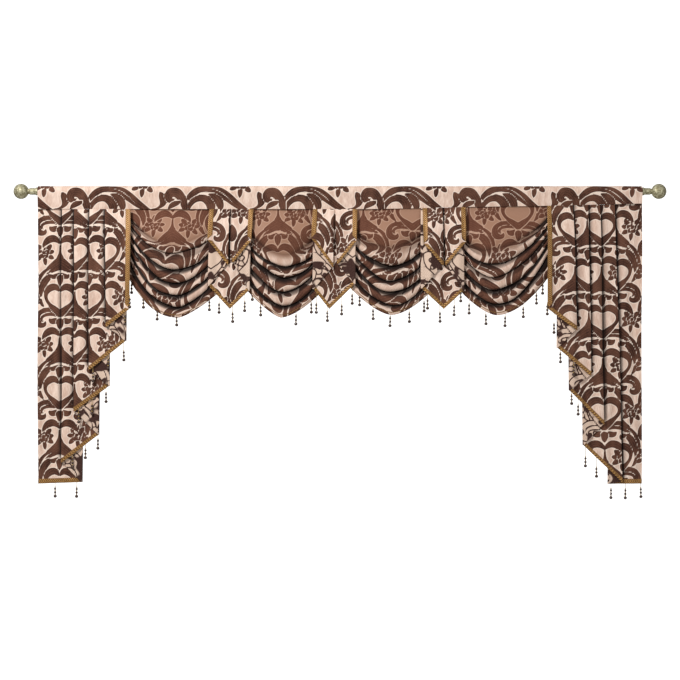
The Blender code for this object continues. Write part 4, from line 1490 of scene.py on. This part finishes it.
def build_swag(damask, looks, row, phase):
    """A swag with its trim."""
    name, creases, x_left, x_right, blunt_left, blunt_right, pattern, skew, tassels, shows = row
    cloth = SwagCloth(creases, x_left, x_right, blunt_left, blunt_right, phase)
    points, shade, dark = cloth.grid()
    normals = -grid_normals(points)
    u, v = swag_pattern_places(points, (x_left + x_right) / 2 * MM)
    v_top = v[:, [SWAG_TOP_ROWS]]
    below = v - v_top
    size = mix(1.0, FOLD_PATTERN_SIZE, np.clip(below / FOLD_PATTERN_OVER, 0.0, 1.0))
    u = u * size + skew * np.maximum(below, 0.0)
    v = v_top + below * size
    ids = np.arange(u.size).reshape(u.shape)
    kit = MeshKit()
    values = damask.attributes(u + pattern[0] * MM, v + pattern[1] * MM, shade, dark)
    half = normals * CLOTH / 2
    kit.add_shell(points + half, points - half, ids, True, values, (0, 1))
    sheet = kit.make("cloth_" + name, [looks["face"], looks["reverse"]])
    trim = MeshKit()
    add_swag_braid(trim, points, normals, tassels, shows)
    fringe = trim.make("fringe_" + name, [looks["braid"], looks["thread"], looks["bead"]])
    place_on_frame(sheet, name, fringe)


def swag_pattern_places(points, x_middle):
    """The repeat's places on a swag: straight down its top, then along each fold's ridge."""
    middle = int(np.argmin(np.abs(points[:, 0, 0] - x_middle)))
    down = along_rows(points, 1)
    u = points[..., 0] - x_middle
    v = down.copy()
    count = (points.shape[1] - 1 - SWAG_TOP_ROWS) // SWAG_FOLD_ROWS
    for fold in range(count):
        first = SWAG_TOP_ROWS + fold * SWAG_FOLD_ROWS
        last = first + SWAG_FOLD_ROWS + (1 if fold == count - 1 else 0)
        ridge = first + round(SWAG_FOLD_ROWS * PATTERN_RIDGE)
        run = along_rows(points[:, [ridge]], 0)
        run = run - run[middle]
        blend = ease((down[:, first:last] - down[:, [first]]) / PATTERN_TURNS_OVER) if fold == 0 else 1.0
        u[:, first:last] = mix(u[:, first:last], run, blend)
        shifted = down[:, first:last] - down[:, [ridge]] + down[middle, ridge]
        v[:, first:last] = mix(v[:, first:last], shifted, blend)
    return u, v


def add_swag_braid(kit, points, normals, tassels, shows):
    """Add the braid behind a swag's hem and the tassels that hang below it."""
    hem = points[:, -1]
    behind = -normals[:, -1]
    up = unit(points[:, -3] - hem)
    across_swag = np.linspace(0.0, 1.0, len(hem))
    show_left, show_mid, show_right = (value * MM for value in shows)
    side = np.where(across_swag < 0.5, show_left, show_right)
    show = mix(show_mid, side, np.abs(2 * across_swag - 1))
    edge = hem - up * show[:, None]
    strip = np.stack([edge + up * ((show + SWAG_BRAID_REACH) * share)[:, None]
                      for share in np.linspace(0.0, 1.0, BRAID_ACROSS)], axis=1)
    back = np.broadcast_to(behind[:, None, :], strip.shape)
    run = along_rows(hem[:, None, :], 0)[:, 0]
    lift = strip + back * (SWAG_BRAID_LIFT + CLOTH)
    add_braid(kit, lift, -back * SWAG_BRAID_RELIEF, run, False)
    place = edge + behind * SWAG_TASSEL_BEHIND
    for number, (x, z_bottom) in enumerate(tassels):
        top = np.array([np.interp(x * MM, hem[:, 0], place[:, axis]) for axis in range(3)])
        top[2] += SWAG_TASSEL_OVERLAP
        add_tassel(kit, top, z_bottom * MM, number)


def pocket_loop(seam_z):
    """The section of the heading's tube, from its front foot over the rod to its back foot."""
    radius = ROD_RADIUS + POCKET_CLEARANCE + CLOTH / 2
    feet = [np.array((SEAM_Y + side * SEAM_FOLD / 2, seam_z + CLOTH / 2)) for side in (-1, 1)]
    start, end = (tangent_angle(foot, radius, side) for foot, side in zip(feet, (-1.0, 1.0)))
    arc = np.linspace(start, end, POCKET_ARC_POINTS)
    rounded = np.stack([radius * np.cos(arc), radius * np.sin(arc)], axis=1)
    rise = np.linspace(0, 1, POCKET_FRONT_POINTS, endpoint=False)[:, None]
    fall = np.linspace(0, 1, POCKET_BACK_POINTS)[1:][:, None]
    return np.vstack([mix(feet[0], rounded[0], rise), rounded, mix(rounded[-1], feet[1], fall)])


def tangent_angle(foot, radius, side):
    """Where on the circle around the rod a straight fall from the foot touches it."""
    angle = math.atan2(foot[1], foot[0]) + side * math.acos(radius / math.hypot(*foot))
    return angle if side > 0 else angle + 2 * math.pi


def build_heading(damask, looks):
    """The pocketed heading, a tube of cloth over the rod that is sewn shut below it."""
    columns = round(HEADING_LENGTH / HEADING_CELL) + 1
    x = np.linspace(-HEADING_LENGTH / 2, HEADING_LENGTH / 2, columns)[:, None]
    seam = seam_height(x)
    loops = np.stack([pocket_loop(float(z)) for z in seam[:, 0]])
    y, z = loops[..., 0], loops[..., 1]
    hanging = np.clip((-HEADING_TOP - z) / HEADING_SWELL_OVER, 0.0, 1.0)
    front = np.where(y < SEAM_Y, 1.0, 0.0)
    bulge = swell(HEADING_SWELL, x, swell(SWELL_WANDER, x)) * hanging
    pucker = swell(SEAM_PUCKER, x, swell(PUCKER_WANDER, x)) * np.exp(-(z - seam) / PUCKER_OVER) * front
    over_rod = (swell(ROD_RIPPLE, x, swell(ROD_WANDER, x)) + HEADING_LIFT) * np.clip(z / HEADING_TOP, 0, 1)
    points = np.stack(np.broadcast_arrays(x, y - bulge - pucker, z + over_rod), axis=-1)
    closed = np.concatenate([points, points[:, :1]], axis=1)
    ids = np.arange(points.shape[0] * closed.shape[1]).reshape(closed.shape[:2])
    ids[:, -1] = ids[:, 0]
    normals = grid_normals(np.concatenate([points[:, -1:], points, points[:, :1]], axis=1))[:, 1:-1]
    normals = np.concatenate([normals, normals[:, :1]], axis=1)
    flip = bool(normals[0, FRONT_POINT, 1] > 0)
    half = (-normals if flip else normals) * CLOTH / 2
    v = along_rows(closed, 1)
    v = v - v[:, [int(np.argmax(loops[0, :, 1]))]]
    u = np.broadcast_to(closed[..., 0] + HEADING_LENGTH / 2, v.shape)
    none = np.zeros_like(v)
    down = HEADING_PATTERN[1] * MM + np.abs(v)
    values = damask.attributes(u + HEADING_PATTERN[0] * MM, down, none, none)
    kit = MeshKit()
    kit.add_shell(closed + half, closed - half, ids, flip, values, (0, 1))
    heading = kit.make("cloth_heading", [looks["face"], looks["reverse"]])
    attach(heading, "root")
    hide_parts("heading")


def build_finial(looks, node, side):
    """A ball finial turned about the rod's axis."""
    neck = FINIAL_STEM[0][0] * MM
    end = math.pi - math.asin(neck / FINIAL_BALL_RADIUS)
    profile = [(0.0, FINIAL_BALL_CENTRE + FINIAL_BALL_RADIUS)]
    for step in range(1, FINIAL_STEPS + 1):
        angle = end * step / FINIAL_STEPS
        profile.append((FINIAL_BALL_RADIUS * math.sin(angle),
                        FINIAL_BALL_CENTRE + FINIAL_BALL_RADIUS * math.cos(angle)))
    profile.extend((radius * MM, height * MM) for radius, height in FINIAL_STEM[1:])
    profile.append((0.0, 0.0))
    points, faces = turned(profile, FINIAL_SIDES)
    along = points[:, 2] + ROD_LENGTH / 2 + TOUCHING_GAP
    kit = MeshKit()
    kit.add(np.stack([side * along, side * points[:, 1], points[:, 0]], axis=1),
            [(group, 0) for group in faces], {})
    finial = kit.make("turned_" + node, [looks["metal"]])
    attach(finial, "root")
    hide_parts(node)


def build_stage():
    """A pale floor below, a white backdrop far behind, soft lights and the camera."""
    scene = bpy.context.scene
    world = bpy.data.worlds.new("studio")
    world.use_nodes = True
    background = world.node_tree.nodes["Background"].inputs
    background[0].default_value = linear(WHITE)
    background[1].default_value = WORLD_STRENGTH
    scene.world = world
    scene.view_settings.view_transform = "Standard"
    floor_look = Shader("pale_floor")
    tone = floor_look.blend(floor_look.noise(floor_look.place(), "floor"), FLOOR, FLOOR_GREY)
    floor_look.finish(tone, None, Roughness=0.8)
    add_plane("floor", FLOOR_PLACE, (0.0, 0.0, 0.0), FLOOR_SIZE, floor_look.material)
    backdrop_look = Shader("white_backdrop")
    backdrop_look.finish(WHITE, None, Roughness=1.0, Emission_Color=linear(WHITE), Emission_Strength=1.0)
    add_plane("backdrop", BACKDROP_PLACE, (math.pi / 2, 0.0, 0.0), BACKDROP_SIZE, backdrop_look.material)
    for name, place, power, size in LIGHTS:
        add_light(name, place, power, size)
    camera = bpy.data.objects.new("camera", bpy.data.cameras.new("camera"))
    scene.collection.objects.link(camera)
    camera.data.sensor_width = SENSOR_WIDTH
    camera.data.lens = SENSOR_WIDTH * VIEW_DISTANCE / VIEW_WIDTH
    camera.location = (0.0, CLOTH_PLANE_Y - VIEW_DISTANCE, VIEW_MIDDLE_Z)
    camera.rotation_euler = (math.pi / 2, 0.0, 0.0)
    camera.data.clip_end = VIEW_END
    scene.camera = camera


def add_plane(name, middle, turn, size, material):
    """A flat stage surface."""
    width, depth = (value / 2 for value in size)
    mesh = bpy.data.meshes.new(name)
    mesh.from_pydata([(-width, -depth, 0), (width, -depth, 0), (width, depth, 0), (-width, depth, 0)], [],
                     [(0, 1, 2, 3)])
    mesh.materials.append(material)
    plane = bpy.data.objects.new(name, mesh)
    plane.location = middle
    plane.rotation_euler = turn
    bpy.context.scene.collection.objects.link(plane)


def add_light(name, place, power, size):
    """A soft square light that looks at the middle of the valance."""
    data = bpy.data.lights.new(name, "AREA")
    data.energy = power
    data.size = size
    light = bpy.data.objects.new(name, data)
    light.location = place
    across, back, up = np.array(LIT_MIDDLE) - np.array(place)
    turn = math.atan2(across, -back) + math.pi
    light.rotation_euler = (math.atan2(math.hypot(across, back), -up), 0.0, turn)
    bpy.context.scene.collection.objects.link(light)


def main():
    """Build the stage, the cloth pieces with their trims and the finials."""
    build_stage()
    damask = heart_damask()
    looks = {"face": face_material(), "reverse": reverse_material(), "braid": braid_material(),
             "thread": thread_material(), "bead": bead_material(), "metal": metal_material()}
    build_heading(band_damask(), looks)
    for number, row in enumerate(PLEATED):
        build_pleated(damask, looks, row, PLEATED_TURN * number)
    for number, row in enumerate(SWAGS):
        build_swag(damask, looks, row, SWAG_TURN * number)
    build_finial(looks, "finial_left", -1)
    build_finial(looks, "finial_right", 1)
    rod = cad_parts["rod"]
    for slot in rod.material_slots:
        slot.material = looks["metal"]


main()
